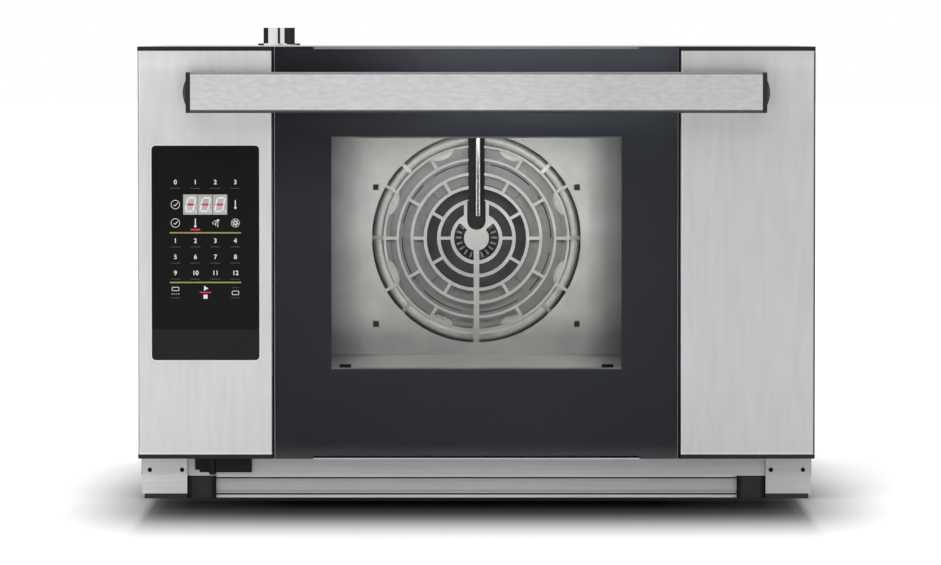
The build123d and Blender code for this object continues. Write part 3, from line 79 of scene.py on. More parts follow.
def surface(name, dark, light, roughness, metallic=0.0, grain=(1, 1, 1), scale=60.0, swing=0.05, bump=0.0,
            **sockets):
    """Material whose colour runs between two tones along a stretched noise pattern."""
    material = bpy.data.materials.new(name)
    material.use_nodes = True
    tree = material.node_tree
    shader = tree.nodes["Principled BSDF"]
    coordinates = tree.nodes.new("ShaderNodeTexCoord")
    mapping = tree.nodes.new("ShaderNodeMapping")
    mapping.inputs["Scale"].default_value = grain
    noise = tree.nodes.new("ShaderNodeTexNoise")
    noise.inputs["Scale"].default_value = scale
    noise.inputs["Detail"].default_value = 4.0
    ramp = tree.nodes.new("ShaderNodeValToRGB")
    ramp.color_ramp.elements[0].position = 0.3
    ramp.color_ramp.elements[0].color = dark
    ramp.color_ramp.elements[1].position = 0.7
    ramp.color_ramp.elements[1].color = light
    spread = tree.nodes.new("ShaderNodeMapRange")
    spread.inputs["To Min"].default_value = max(roughness - swing, 0.0)
    spread.inputs["To Max"].default_value = min(roughness + swing, 1.0)
    tree.links.new(coordinates.outputs["Object"], mapping.inputs["Vector"])
    tree.links.new(mapping.outputs["Vector"], noise.inputs["Vector"])
    tree.links.new(noise.outputs["Fac"], ramp.inputs["Fac"])
    tree.links.new(noise.outputs["Fac"], spread.inputs["Value"])
    tree.links.new(ramp.outputs["Color"], shader.inputs["Base Color"])
    tree.links.new(spread.outputs["Result"], shader.inputs["Roughness"])
    shader.inputs["Metallic"].default_value = metallic
    for socket, value in sockets.items():
        shader.inputs[socket.replace("_", " ")].default_value = value
    if bump:
        relief = tree.nodes.new("ShaderNodeBump")
        relief.inputs["Strength"].default_value = bump
        relief.inputs["Distance"].default_value = 0.0002
        tree.links.new(noise.outputs["Fac"], relief.inputs["Height"])
        tree.links.new(relief.outputs["Normal"], shader.inputs["Normal"])
    return material


# %% [markdown]
# A shade varies a finish slowly across the object, such as the light that fades along the steel from left to
# right. It is a row of grey levels that the finish's colour is multiplied by.

# %% Levels and how they meet a colour
def ramped(tree, value, stops):
    """Grey level that follows a value from 0 to 1, from pairs of a position and a level."""
    ramp = tree.nodes.new("ShaderNodeValToRGB")
    while len(ramp.color_ramp.elements) < len(stops):
        ramp.color_ramp.elements.new(0.5)
    for element, (position, level) in zip(ramp.color_ramp.elements, stops):
        element.position = position
        element.color = (level, level, level, 1.0)
    tree.links.new(value, ramp.inputs["Fac"])
    return ramp.outputs["Color"]


def mixed(tree, first, second, blend="MULTIPLY"):
    """Two colours in one node, multiplied unless another blend is named."""
    mix = tree.nodes.new("ShaderNodeMix")
    mix.data_type = "RGBA"
    mix.blend_type = blend
    mix.inputs["Factor"].default_value = 1.0
    tree.links.new(first, mix.inputs["A"])
    tree.links.new(second, mix.inputs["B"])
    return mix


def multiply_colour(material, level):
    tree = material.node_tree
    base_colour = tree.nodes["Principled BSDF"].inputs["Base Color"]
    mix = mixed(tree, base_colour.links[0].from_socket, level)
    tree.links.new(mix.outputs["Result"], base_colour)


# %% [markdown]
# Some shades run round a centre, such as the dark middle of the fan. The scale of the mapping sets how far
# the gradient reaches along each direction.

# %% A shade round a centre
def shaded(material, center, scale, stops):
    """Multiply the colour by a soft gradient round a centre. Stops run from the rim to the middle."""
    tree = material.node_tree
    coordinates = tree.nodes.new("ShaderNodeTexCoord")
    mapping = tree.nodes.new("ShaderNodeMapping")
    mapping.inputs["Location"].default_value = tuple(-c * s for c, s in zip(center, scale))
    mapping.inputs["Scale"].default_value = scale
    gradient = tree.nodes.new("ShaderNodeTexGradient")
    gradient.gradient_type = "SPHERICAL"
    tree.links.new(coordinates.outputs["Object"], mapping.inputs["Vector"])
    tree.links.new(mapping.outputs["Vector"], gradient.inputs["Vector"])
    multiply_colour(material, ramped(tree, gradient.outputs["Fac"], stops))


# %% [markdown]
# Most shades run along one direction of the object. Their stops are places along that direction, in metres,
# with the share of the colour that stays.

# %% A shade along one direction
def along(tree, axis, stops, mirrored=False):
    """Level along x, y or z of the object. A mirrored one is alike on both sides of the middle."""
    coordinates = tree.nodes.new("ShaderNodeTexCoord")
    split = tree.nodes.new("ShaderNodeSeparateXYZ")
    tree.links.new(coordinates.outputs["Object"], split.inputs["Vector"])
    place = split.outputs[axis.upper()]
    if mirrored:
        size = tree.nodes.new("ShaderNodeMath")
        size.operation = "ABSOLUTE"
        tree.links.new(place, size.inputs[0])
        place = size.outputs["Value"]
    spread = tree.nodes.new("ShaderNodeMapRange")
    start, end = stops[0][0], stops[-1][0]
    spread.inputs["From Min"].default_value = start
    spread.inputs["From Max"].default_value = end
    tree.links.new(place, spread.inputs["Value"])
    shares = [((distance - start) / (end - start), level) for distance, level in stops]
    return ramped(tree, spread.outputs["Result"], shares)


def graded(material, axis, stops, mirrored=False):
    """Multiply the colour by a shade along one direction."""
    multiply_colour(material, along(material.node_tree, axis, stops, mirrored))


# %% [markdown]
# The brushed front panels have a vertical grain and the handle a horizontal one.

# %% Metals
vertical = (1.0, 1.0, 0.02)
sideways = (0.02, 1.0, 1.0)

finishes = {
    "brushed_front": surface("brushed_front", colour(219, 219, 220), colour(226, 226, 227), 0.42, 0.75,
                             (1.0, 1.0, 0.12), 160.0),
    "brushed_base": surface("brushed_base", colour(194, 194, 196), colour(205, 205, 207), 0.45, 0.8,
                            sideways, 700.0),
    "brushed_case": surface("brushed_case", colour(186, 186, 187), colour(202, 202, 203), 0.45, 0.8,
                            sideways, 700.0),
    "brushed_handle": surface("brushed_handle", colour(209, 209, 210), colour(225, 225, 226), 0.38, 0.75,
                              (0.3, 1.0, 1.0), 420.0, bump=0.15),
    "galvanised_steel": surface("galvanised_steel", colour(150, 152, 154), colour(182, 184, 186), 0.5, 0.85,
                                (1, 1, 1), 45.0),
    "polished_steel": surface("polished_steel", colour(222, 222, 223), colour(232, 232, 233), 0.0, 1.0,
                              (1, 1, 0.05), 300.0, 0.001),
    "chamber_steel": surface("chamber_steel", colour(186, 186, 183), colour(200, 200, 197), 0.42, 0.7,
                             vertical, 500.0),
    "fan_steel": surface("fan_steel", colour(134, 134, 132), colour(146, 146, 144), 0.5, 0.5,
                         (1, 1, 1), 120.0),
    "element_steel": surface("element_steel", colour(196, 196, 193), colour(212, 212, 209), 0.5, 0.4,
                             (1, 1, 1), 200.0),
    # Painted shade: the dark steel makes the channel behind the water pipe a dark sheet where the slot is in
    # shade.
    "dark_steel": surface("dark_steel", colour(40, 40, 39), colour(52, 52, 51), 0.6, 0.2, (1, 1, 1), 150.0,
                          Specular_IOR_Level=0.2),
    "brass": surface("brass", colour(181, 150, 84), colour(205, 175, 105), 0.3, 1.0, (1, 1, 1), 150.0),
}
print("Metals:", len(finishes))

# %% [markdown]
# Plastics, rubber, paint and the circuit boards are not metallic.

# %% Plastics, rubber and paint
finishes.update({
    "black_rubber": surface("black_rubber", colour(30, 30, 31), colour(42, 42, 43), 0.75, scale=150.0),
    "black_plastic": surface("black_plastic", colour(20, 20, 21), colour(27, 27, 28), 0.5, scale=250.0,
                             Specular_IOR_Level=0.2),
    "pale_plastic": surface("pale_plastic", colour(205, 205, 200), colour(222, 222, 217), 0.5, scale=90.0),
    "red_plastic": surface("red_plastic", colour(168, 28, 24), colour(196, 40, 34), 0.4, scale=90.0),
    "control_gloss": surface("control_gloss", colour(9, 9, 9), colour(12, 12, 12), 0.2, scale=30.0,
                             swing=0.04, Specular_IOR_Level=0.14),
    "display_grey": surface("display_grey", colour(166, 165, 162), colour(184, 183, 180), 0.3, scale=60.0),
    "circuit_board": surface("circuit_board", colour(22, 82, 48), colour(34, 104, 62), 0.45, scale=180.0),
    "motor_paint": surface("motor_paint", colour(52, 54, 57), colour(70, 72, 75), 0.5, scale=110.0),
    "mineral_wool": surface("mineral_wool", colour(176, 166, 128), colour(214, 204, 168), 0.95, scale=160.0,
                            bump=0.6),
    "black_enamel": surface("black_enamel", colour(62, 64, 70), colour(65, 67, 73), 0.4, scale=3.0,
                            swing=0.01, Specular_IOR_Level=0.1),
})
print("Finishes:", len(finishes))

# %% [markdown]
# The door's two panes are clear glass. Light goes through them into the chamber.

# %% Glass
clear_glass = surface("clear_glass", colour(250, 252, 252), colour(255, 255, 255), 0.0, scale=5.0,
                      swing=0.001, Transmission_Weight=1.0, IOR=1.45)
finishes["clear_glass"] = clear_glass

# %% [markdown]
# Painted light: the studio's light comes from the upper left, so the steel's colour is made lighter at the
# left, a little lighter at the top, just above the handle and along the bottom edge. A painted highlight
# marks the fold of the right panel beside the glass, the left panel's edge beside the glass is painted dim,
# and a painted dark line runs down the right edge.

# %% Shades of the front panels
front_steel = finishes["brushed_front"]
graded(front_steel, "x", [(-0.3, 1.0), (-0.18, 0.98), (0.18, 0.84), (0.2983, 0.82), (0.2984, 0.1),
                          (0.3, 0.1)])
graded(front_steel, "x", [(0.1800, 1.0), (0.1810, 1.3), (0.1819, 1.3), (0.1826, 1.0)])
graded(front_steel, "x", [(-0.1822, 1.0), (-0.1816, 0.8), (-0.1811, 0.8), (-0.1800, 1.0)])
graded(front_steel, "z", [(0.0418, 1.12), (0.0428, 0.98), (0.33, 0.98), (0.345, 1.02), (0.378, 1.06),
                          (0.386, 1.15), (0.395, 1.1), (0.40, 1.07)])

# %% [markdown]
# Painted shade and painted highlights: the handle's colour is dark along its upper and lower edge, with a
# bright line beside each, and a little darker towards the right. Its plastic caps are painted lighter from
# the line where their domes begin, a painted highlight. The two plastic profiles are lighter than the other
# black plastic.

# %% Shades of the handle, its caps and the profiles
handle_steel = finishes["brushed_handle"]
graded(handle_steel, "x", [(-0.26, 1.0), (0.02, 1.0), (0.13, 0.88), (0.26, 0.86)])
graded(handle_steel, "z", [
    (handle_low.z, 0.1), (handle_low.z + 0.0022, 0.1), (handle_low.z + 0.0030, 0.8),
    (handle_low.z + 0.0036, 1.08), (handle_low.z + 0.0045, 1.0), (handle_high.z - 0.0036, 1.0),
    (handle_high.z - 0.0026, 1.08), (handle_high.z - 0.0018, 0.45), (handle_high.z - 0.0010, 0.15)])
cap_plastic = surface("cap_plastic", colour(24, 24, 25), colour(32, 32, 33), 0.5, scale=250.0,
                      Specular_IOR_Level=0.3)
graded(cap_plastic, "x", [(0.2554, 1.0), (0.2558, 4.0)], mirrored=True)
profile_plastic = surface("profile_plastic", colour(31, 31, 32), colour(38, 38, 39), 0.5, scale=250.0,
                          Specular_IOR_Level=0.2)

# %% [markdown]
# Painted highlights and painted shade: the base's colour has a lighter strip along every folded edge, and the
# sill and the fascia are painted darker under each joint and under the door. The steel is painted lighter at
# the left corner and low down, and darker towards the right. The sill and the fascia share one steel, so that
# the strips added later match them.

# %% Shades of the base
base_steel = finishes["brushed_base"]
graded(base_steel, "x", [(-0.2576, 1.1), (-0.2574, 1.0), (0.05, 1.0), (0.15, 0.9), (0.2574, 0.89),
                         (0.2576, 0.84)])
graded(base_steel, "z", [(0.018, 1.16), (0.024, 1.0)])
fascia_steel = surface("fascia_steel", colour(194, 194, 196), colour(205, 205, 207), 0.45, 0.8, sideways,
                       700.0)
graded(fascia_steel, "x", [(0.05, 1.0), (0.15, 0.9), (0.2574, 0.89)])
graded(fascia_steel, "z", [
    (0.0027, 1.5), (0.0030, 1.08), (0.0065, 1.02), (0.0120, 0.97), (0.0165, 0.8), (0.0184, 0.78),
    (0.0186, 1.25), (0.0200, 1.2), (0.0212, 1.02), (0.0255, 0.97), (0.033, 0.84), (0.036, 0.88)])

# %% [markdown]
# The enamel is a black paint behind the pane. Its colour carries a painted reflection, a soft light patch at
# the top,
# and painted shade: it is darkest at the upper left, darker towards the bottom and the sides, and painted
# lighter just under the handle. A black line closes it beside the steel panels.

# %% Shades of the enamel
enamel = finishes["black_enamel"]
shaded(enamel, (0.07, glass_low.y, 0.41), (1 / 0.30, 1.0, 1 / 0.12),
       [(0.0, 1.0), (0.3, 1.1), (0.67, 2.7), (1.0, 2.9)])
shaded(enamel, (-0.17, glass_low.y, 0.35), (1 / 0.14, 1.0, 1 / 0.09), [(0.0, 1.0), (1.0, 0.45)])
graded(enamel, "z", [(0.04, 0.85), (0.12, 0.95), (0.29, 1.1), (0.322, 1.3), (0.335, 1.8), (0.36, 1.2),
                     (0.40, 1.0)])
graded(enamel, "x", [(0.05, 1.0), (0.12, 0.9), (0.178, 0.85), (0.1782, 0.1)], mirrored=True)

# %% [markdown]
# Painted shade: inside, the colours of the chamber and the baffle are made darker towards the chamber's
# walls, its floor and its ceiling, as the light falls off there. The fan's colour is painted dark in its
# middle, where the guard hides it from the lamps, and painted lighter on its parts further back.

# %% Shades of the chamber, the baffle and the fan
graded(finishes["chamber_steel"], "x", [(0.0, 1.08), (0.06, 1.0), (0.09, 0.8), (0.11, 0.55), (0.13, 0.22),
                                        (0.165, 0.22), (0.17, 1.0)], mirrored=True)
chamber_middle = ((baffle_low.x + baffle_high.x) / 2, baffle_low.y, (baffle_low.z + baffle_high.z) / 2)
baffle_steel = surface("baffle_steel", colour(196, 196, 193), colour(208, 208, 205), 0.42, 0.7, (1, 1, 1),
                       60.0)
graded(baffle_steel, "x", [(-0.137, 0.25), (-0.121, 0.5), (-0.108, 0.8), (-0.095, 0.95), (0.0, 1.0),
                           (0.06, 1.0), (0.095, 0.87), (0.104, 0.8), (0.112, 0.58), (0.125, 0.3),
                           (0.137, 0.17)])
graded(baffle_steel, "z", [(0.110, 0.64), (0.124, 0.66), (0.135, 0.84), (0.150, 1.03), (0.23, 1.03),
                           (0.255, 0.82), (0.2815, 0.68), (0.308, 0.46), (0.3285, 0.4)])
shaded(finishes["fan_steel"], chamber_middle, (9.0, 1.0, 9.0),
       [(0.0, 1.0), (0.53, 0.97), (0.56, 0.2), (1.0, 0.15)])
graded(finishes["fan_steel"], "y", [(0.153, 1.0), (0.156, 1.9)])

# %% [markdown]
# Each CAD node's own material carries the name of its slot, so the new finish of that name takes its place.

# %% Dress the CAD nodes
for name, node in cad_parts.items():
    for index, holder in enumerate(node.material_slots):
        slot_name = holder.material.name.split(".")[0]
        if slot_name in finishes:
            node.data.materials[index] = finishes[slot_name]
        else:
            print("No finish for", name, slot_name)
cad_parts["fan_baffle"].data.materials[0] = baffle_steel
for name in ("front_sill", "lower_fascia"):
    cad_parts[name].data.materials[0] = fascia_steel
for name in ("door_top_profile", "door_bottom_profile"):
    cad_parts[name].data.materials[0] = profile_plastic
for side in ("left", "right"):
    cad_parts["handle_cap_" + side].data.materials[0] = cap_plastic

# %% [markdown]
# ## Building blocks for the small details
# A piece is made at its place with an operator and gets its material and its body. Its place is applied, so
# that its object sits at the origin.

# %% Helpers for small pieces
def settle(piece, name, material):
    """Name a new piece, apply its place and give it its material."""
    piece.name = name
    piece.data.name = name
    bpy.ops.object.transform_apply(location=True, rotation=True, scale=True)
    piece.data.materials.clear()
    piece.data.materials.append(material)
    piece.select_set(False)
    return piece


def bar(name, low, high, material):
    """Box between two corners."""
    middle = [(a + b) / 2 for a, b in zip(low, high)]
    extent = [b - a for a, b in zip(low, high)]
    bpy.ops.mesh.primitive_cube_add(size=1, location=middle, scale=extent)
    return settle(bpy.context.object, name, material)


def strip(name, x, z, length, width, degrees, front, depth, material):
    """Thin bar on the door's face, turned by an angle, seen from the front."""
    bpy.ops.mesh.primitive_cube_add(size=1, location=(x, front + depth / 2, z), scale=(length, depth, width),
                                    rotation=(0, -math.radians(degrees), 0))
    return settle(bpy.context.object, name, material)


def ring(name, x, z, radius, line, front, material):
    bpy.ops.mesh.primitive_torus_add(location=(x, front, z), rotation=(math.pi / 2, 0, 0),
                                     major_radius=radius, minor_radius=line, major_segments=32,
                                     minor_segments=6)
    return settle(bpy.context.object, name, material)


def disc(name, x, z, radius, front, depth, material):
    bpy.ops.mesh.primitive_cylinder_add(vertices=24, radius=radius, depth=depth, rotation=(math.pi / 2, 0, 0),
                                        location=(x, front + depth / 2, z))
    return settle(bpy.context.object, name, material)


def sign(name, words, x, z, height, front, material):
    """Printed sign, centred on a point of the door's face."""
    bpy.ops.object.text_add(location=(x, front, z), rotation=(math.pi / 2, 0, 0))
    text = bpy.context.object
    text.data.body = words
    text.data.size = height
    text.data.align_x = "CENTER"
    text.data.align_y = "CENTER"
    text.data.extrude = 0.00003
    text.data.offset = 0.0001
    bpy.ops.object.convert(target="MESH")
    return settle(bpy.context.object, name, material)


def join(name, pieces):
    """Join loose pieces of one finish into one piece."""
    for piece in pieces:
        piece.select_set(True)
    bpy.context.view_layer.objects.active = pieces[0]
    bpy.ops.object.join()
    joined = bpy.context.object
    joined.name = name
    joined.data.name = name
    joined.select_set(False)
    return joined


# %% [markdown]
# ## The control panel
# The panel carries plain numbers, pictograms and ruled lines. They are printed on the gloss face in four
# inks, and keep their places on the photographed panel.

# %% Inks
white_ink = surface("white_ink", colour(214, 214, 214), colour(230, 230, 230), 0.5, scale=200.0)
grey_ink = surface("grey_ink", colour(84, 84, 86), colour(98, 98, 100), 0.5, scale=200.0)
yellow_ink = surface("yellow_ink", colour(140, 134, 78), colour(158, 150, 90), 0.5, scale=200.0)
red_ink = surface("red_ink", colour(186, 40, 62), colour(206, 56, 80), 0.5, scale=200.0)

# %% [markdown]
# The four columns are measured from the panel's middle and the rows from its top edge, so that the print
# stays in order when the panel moves. A print stands a hair in front of the face, or the two would flicker.

# %% Places on the panel
ink_front = control_low.y - 0.00002
ink_depth = 0.00006
panel_center_x = (control_low.x + control_high.x) / 2
columns = [panel_center_x + offset * millimetre for offset in (-26.55, -8.85, 8.85, 26.55)]
row_top = control_high.z

label_row = row_top - 32.3 * millimetre
icon_row = row_top - 68.3 * millimetre
upper_line = row_top - 77.0 * millimetre
number_rows = [row_top - drop * millimetre for drop in (84.2, 98.5, 112.7)]
lower_line = row_top - 121.0 * millimetre
bottom_row = row_top - 129.8 * millimetre
clock_row = (display_low.z + display_high.z) / 2
print("Columns:", [round(x, 4) for x in columns])


# %% [markdown]
# Every mark of the print is a thin bar, a dot or a hoop. They are collected by ink and joined at the end, so
# that each ink is one piece.

# %% Marks of the print
def mark(name, x, z, length, width, degrees, ink):
    return strip(name, x, z, length, width, degrees, ink_front, ink_depth, ink)


def dot(name, x, z, radius, ink):
    return disc(name, x, z, radius, ink_front, ink_depth, ink)


def hoop(name, x, z, radius, line):
    return ring(name, x, z, radius, line, ink_front + 0.0003, white_ink)


# %% Numbers and ruled lines
letter_height = 5.6 * millimetre
key_underline_drop = 5.3 * millimetre
underline_length = 9.0 * millimetre
underline_width = 0.3 * millimetre
ruled_length = 63.1 * millimetre
ruled_width = 1.2 * millimetre
white = []
grey = []


def key(name, words, x, z):
    """Number of a key, with a grey line under it."""
    white.append(sign(name, words, x, z, letter_height, ink_front, white_ink))
    grey.append(mark("underline", x, z - key_underline_drop, underline_length, underline_width, 0, grey_ink))


for index, x in enumerate(columns):
    key("label", str(index), x, label_row)
for row, z in enumerate(number_rows):
    for column, x in enumerate(columns):
        key("number", str(len(columns) * row + column + 1), x, z)
yellow = [mark("line", panel_center_x, z, ruled_length, ruled_width, 0, yellow_ink)
          for z in (upper_line, lower_line)]
print("Keys with a number:", len(white))


# %% [markdown]
# The pictograms are a clock, a thermometer, a steam jet, a fan, an oven and a door, drawn with hoops, dots
# and thin bars.

# %% Pictograms
def clock(x, z):
    return [hoop("clock", x, z, 0.0038, 0.0004),
            mark("hand", x + 0.0009, z + 0.0001, 0.0037, 0.0006, 47, white_ink),
            mark("hand", x - 0.0009, z - 0.0007, 0.0016, 0.0006, -48, white_ink)]


def thermometer(x, z):
    return [mark("tube", x, z + 0.0008, 0.0062, 0.0009, 90, white_ink),
            dot("bulb", x, z - 0.0028, 0.0011, white_ink)]


def steam_jet(x, z):
    tip_x, tip_z = x + 0.0036, z + 0.0034
    reach = 0.0031
    marks = []
    for degrees in (22, 44, 66):
        angle = math.radians(degrees)
        marks.append(mark("jet", tip_x - reach * math.cos(angle), tip_z - reach * math.sin(angle), 0.0050,
                          0.0005, math.degrees(angle), white_ink))
    for i in range(3):
        marks.append(mark("drop", x - 0.0022 + 0.0022 * i, z - 0.0004 - 0.0011 * i, 0.0022, 0.0006,
                          118 - 20 * i, white_ink))
    return marks


def fan_sign(x, z):
    reach = 0.0018
    blade_lean = 42
    marks = []
    for i in range(6):
        angle = math.radians(90 + 60 * i)
        marks.append(mark("blade", x + reach * math.cos(angle), z + reach * math.sin(angle), 0.0030, 0.0007,
                          math.degrees(angle) + blade_lean, white_ink))
    return marks + [hoop("rim", x, z, 0.0036, 0.00035)]


def frame_sign(x, z, width, height):
    line_width = 0.0005
    w, h = width / 2, height / 2
    return [mark("edge", x, z + h, width, line_width, 0, white_ink),
            mark("edge", x, z - h, width, line_width, 0, white_ink),
            mark("edge", x - w, z, height, line_width, 90, white_ink),
            mark("edge", x + w, z, height, line_width, 90, white_ink)]


# %% Pictograms at their places
white += clock(columns[0], clock_row)
white += thermometer(columns[3], clock_row)
white += clock(columns[0], icon_row)
white += thermometer(columns[1], icon_row)
white += steam_jet(columns[2], icon_row)
white += fan_sign(columns[3], icon_row)
white += frame_sign(columns[0], bottom_row + 0.0030, 0.0060, 0.0030)
white += frame_sign(columns[3], bottom_row - 0.0004, 0.0058, 0.0032)
sign_dot = 0.0004
sign_underline_drop = 0.0048
for i in range(4):
    white.append(dot("dot", columns[0] + (i - 1.5) * 0.0019, bottom_row - 0.0014, sign_dot, white_ink))
    grey.append(dot("dot", columns[3] + (i - 1.5) * 0.0017, bottom_row + 0.0042, sign_dot, grey_ink))
for x in (columns[0], columns[3]):
    grey.append(mark("underline", x, bottom_row - sign_underline_drop, underline_length, underline_width, 0,
                     grey_ink))

# %% [markdown]
# Between the two lower signs stand a start triangle and a stop square, with a red line between them. The
# triangle is a cylinder of three sides.

# %% Start, stop and the red lines
middle_x = (columns[1] + columns[2]) / 2
start_radius = 0.0026
start_rise = 0.0036
stop_half_width = 0.0018
stop_low, stop_high = bottom_row - 0.0056, bottom_row - 0.0020
bpy.ops.mesh.primitive_cylinder_add(vertices=3, radius=start_radius, depth=ink_depth,
                                    location=(middle_x, ink_front + ink_depth / 2, bottom_row + start_rise),
                                    rotation=(math.pi / 2, math.pi / 2, 0))
white.append(settle(bpy.context.object, "start", white_ink))
white.append(bar("stop", (middle_x - stop_half_width, ink_front, stop_low),
                 (middle_x + stop_half_width, ink_front + ink_depth, stop_high), white_ink))
red = [mark("start_line", middle_x, bottom_row, 0.0100, 0.0012, 0, red_ink),
       mark("heat_line", columns[1], icon_row - 0.0059, 0.0085, 0.0014, 0, red_ink)]

# %% [markdown]
# The display shows three figures of seven bars each, leaning to the right. Their middle bars are lit, and two
# grey lines part the three cells.

# %% Display figures
display_front = display_low.y - 0.00002
figure_width = 0.0068
figure_height = 0.0118
figure_lean = 0.0012
figure_pitch = (display_high.x - display_low.x) / 3
line = 0.0015
upright_degrees = 79
cell_line_half = 0.0003
display_x = (display_low.x + display_high.x) / 2
display_bars = []


def figure_bar(name, x, z, length, width, degrees, ink):
    return strip(name, x, z, length, width, degrees, display_front, ink_depth, ink)


for index in range(3):
    x = display_x + (index - 1) * figure_pitch
    half_w, half_h = figure_width / 2, figure_height / 2
    for level in (-1, 1):
        display_bars.append(figure_bar("bar", x + level * figure_lean, clock_row + level * half_h,
                                       figure_width - line * 0.8, line, 0, white_ink))
        for side in (-1, 1):
            display_bars.append(figure_bar("bar", x + side * half_w + level * figure_lean / 2,
                                           clock_row + level * half_h / 2, half_h - line * 0.6, line,
                                           upright_degrees, white_ink))
    display_bars.append(disc("dot", x + half_w + 0.0016, clock_row - half_h, 0.0007, display_front, ink_depth,
                             white_ink))
    red.append(figure_bar("lit", x, clock_row, figure_width - line * 0.8, line * 1.3, 0, red_ink))
    if index:
        cell_x = x - figure_pitch / 2
        grey.append(bar("cell_line", (cell_x - cell_line_half, display_front, display_low.z),
                        (cell_x + cell_line_half, display_front + ink_depth, display_high.z), grey_ink))

printed = [join("control_signs", white), join("control_underlines", grey), join("control_lines", yellow),
           join("control_red_marks", red), join("display_figures", display_bars)]
for piece in printed:
    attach(piece, "door")
print("Printed pieces:", [piece.name for piece in printed])

# %% [markdown]
# A folded rim of bare steel shows round the panel. Its steel is painted brighter than the panels, a painted
# highlight along the rim. A plane of the panel's outline gets rounded corners, an inset, a hole in place of
# its middle, and a small thickness.

# %% Rim of the control panel
cover_low, cover_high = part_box("control_lower_cover")
panel_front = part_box("door_panel_left")[0].y
rim_width = 1.2 * millimetre
rim_corner = 4.7 * millimetre
rim_depth = 0.2 * millimetre
rim_highlight_steel = surface("rim_highlight_steel", colour(240, 240, 241), colour(250, 250, 251), 0.4, 0.7, vertical, 300.0)
rim_height = control_high.z - cover_low.z + 2 * rim_width
bpy.ops.mesh.primitive_plane_add(size=1, rotation=(math.pi / 2, 0, 0), location=(
    panel_center_x, panel_front, (control_high.z + cover_low.z) / 2))
rim = bpy.context.object
rim.scale = (control_high.x - control_low.x + 2 * rim_width, rim_height, 1)
bpy.ops.object.transform_apply(location=False, rotation=False, scale=True)
bpy.ops.object.mode_set(mode="EDIT")
bpy.ops.mesh.select_all(action="SELECT")
bpy.ops.mesh.bevel(offset=rim_corner, segments=6, affect="VERTICES")
bpy.ops.mesh.inset(thickness=rim_width)
bpy.ops.mesh.delete(type="FACE")
bpy.ops.mesh.select_all(action="SELECT")
bpy.ops.mesh.extrude_region_move(TRANSFORM_OT_translate={"value": (0, -rim_depth, 0)})
bpy.ops.mesh.select_all(action="SELECT")
bpy.ops.mesh.normals_make_consistent(inside=False)
bpy.ops.object.mode_set(mode="OBJECT")
settle(rim, "control_rim", rim_highlight_steel)
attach(rim, "door")
print("Rim:", [round(v * 1000, 1) for v in rim.dimensions], "mm")

# %% [markdown]
# A dark strip closes the view into the joint between the panel's face and its lower cover.

# %% Joint strip of the control panel
joint_z = (control_low.z + cover_high.z) / 2
joint_half_height = 0.6 * millimetre
joint_side_gap = 0.2 * millimetre
joint_strip = bar("control_joint",
                  (control_low.x + joint_side_gap, cover_low.y + 0.0004, joint_z - joint_half_height),
                  (control_high.x - joint_side_gap, cover_low.y + 0.0009, joint_z + joint_half_height),
                  finishes["black_plastic"])
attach(joint_strip, "door")

# %% [markdown]
# ## The window
# The pane shows a thin light line along the top and the bottom of the window, where the clear part of the
# glass meets the enamel.

# %% Window lines
window_half_width = 0.1285
window_bottom = 0.1169
window_top = 0.3217
window_line_half = 0.0007
edge_y = glass_high.y - 0.0009
window_lines = []
for name, z in (("window_line_top", window_top), ("window_line_bottom", window_bottom)):
    window_lines.append(bar(name, (-window_half_width, edge_y, z - window_line_half),
                            (window_half_width, edge_y + 0.0005, z + window_line_half),
                            surface(name, colour(120, 122, 122), colour(150, 152, 152), 0.4, scale=40.0)))
for piece in window_lines:
    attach(piece, "door")

# %% [markdown]
# ## Behind the guard
# The front ring of the heater has a broad smooth sleeve. A torus has few faces for a round look, and is
# pressed a little flat before it is turned upright.

# %% Sleeve of the heater
axis_z = chamber_middle[2]
element_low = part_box("heating_element")[0]
sleeve_y = element_low.y + 4.25 * millimetre
sleeve_radius = 93.6 * millimetre
sleeve_thickness = 5.2 * millimetre
sleeve_flatness = 0.86
bpy.ops.mesh.primitive_torus_add(location=(0, 0, 0), major_radius=sleeve_radius,
                                 minor_radius=sleeve_thickness, major_segments=128, minor_segments=20)
sleeve = bpy.context.object
sleeve.scale = (1, 1, sleeve_flatness)
bpy.ops.object.transform_apply(location=False, rotation=False, scale=True)
bpy.ops.object.shade_smooth()
sleeve.rotation_euler = (math.pi / 2, 0, 0)
sleeve.location = (0, sleeve_y, axis_z)
settle(sleeve, "element_sleeve", finishes["element_steel"])

# %% [markdown]
# The water pipe hangs in front of its dark channel, a sheet painted dark as shade, and is polished, so its
# roundness shows. The run is a hair thicker than the CAD pipe under it, with more sides. Below, a low strip
# closes the seam between the baffle and the chamber's floor.

# %% Polished pipe and the foot of the baffle
pipe_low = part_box("water_pipe")[0]
pipe_x = 1.5 * millimetre
pipe_radius = 3.05 * millimetre
pipe_length = 124 * millimetre
bpy.ops.mesh.primitive_cylinder_add(vertices=48, radius=pipe_radius, depth=pipe_length, location=(
    pipe_x, pipe_low.y + 3 * millimetre, pipe_low.z - 0.0001 + pipe_length / 2))
pipe = bpy.context.object
bpy.ops.object.shade_smooth_by_angle(angle=math.radians(40))
pipe_steel = surface("pipe_steel", colour(150, 150, 150), colour(166, 166, 166), 0.16, 1.0, (1, 1, 0.05),
                     300.0, 0.02)
settle(pipe, "pipe_run", pipe_steel)
foot_half_width = 221.9 * millimetre
seam_cover = bar("baffle_foot", (-foot_half_width, baffle_low.y - 0.0008, chamber_low.z + 0.0011),
                 (foot_half_width, baffle_low.y - 0.0001, baffle_low.z + 0.0008), baffle_steel)
for piece in (sleeve, pipe, seam_cover):
    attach(piece, "cabinet")


# %% [markdown]
# The fan has a beaded front ring, welded seams and a ribbed hub. What repeats is modelled once and copied
# round the fan's axis, each copy with its own mesh.

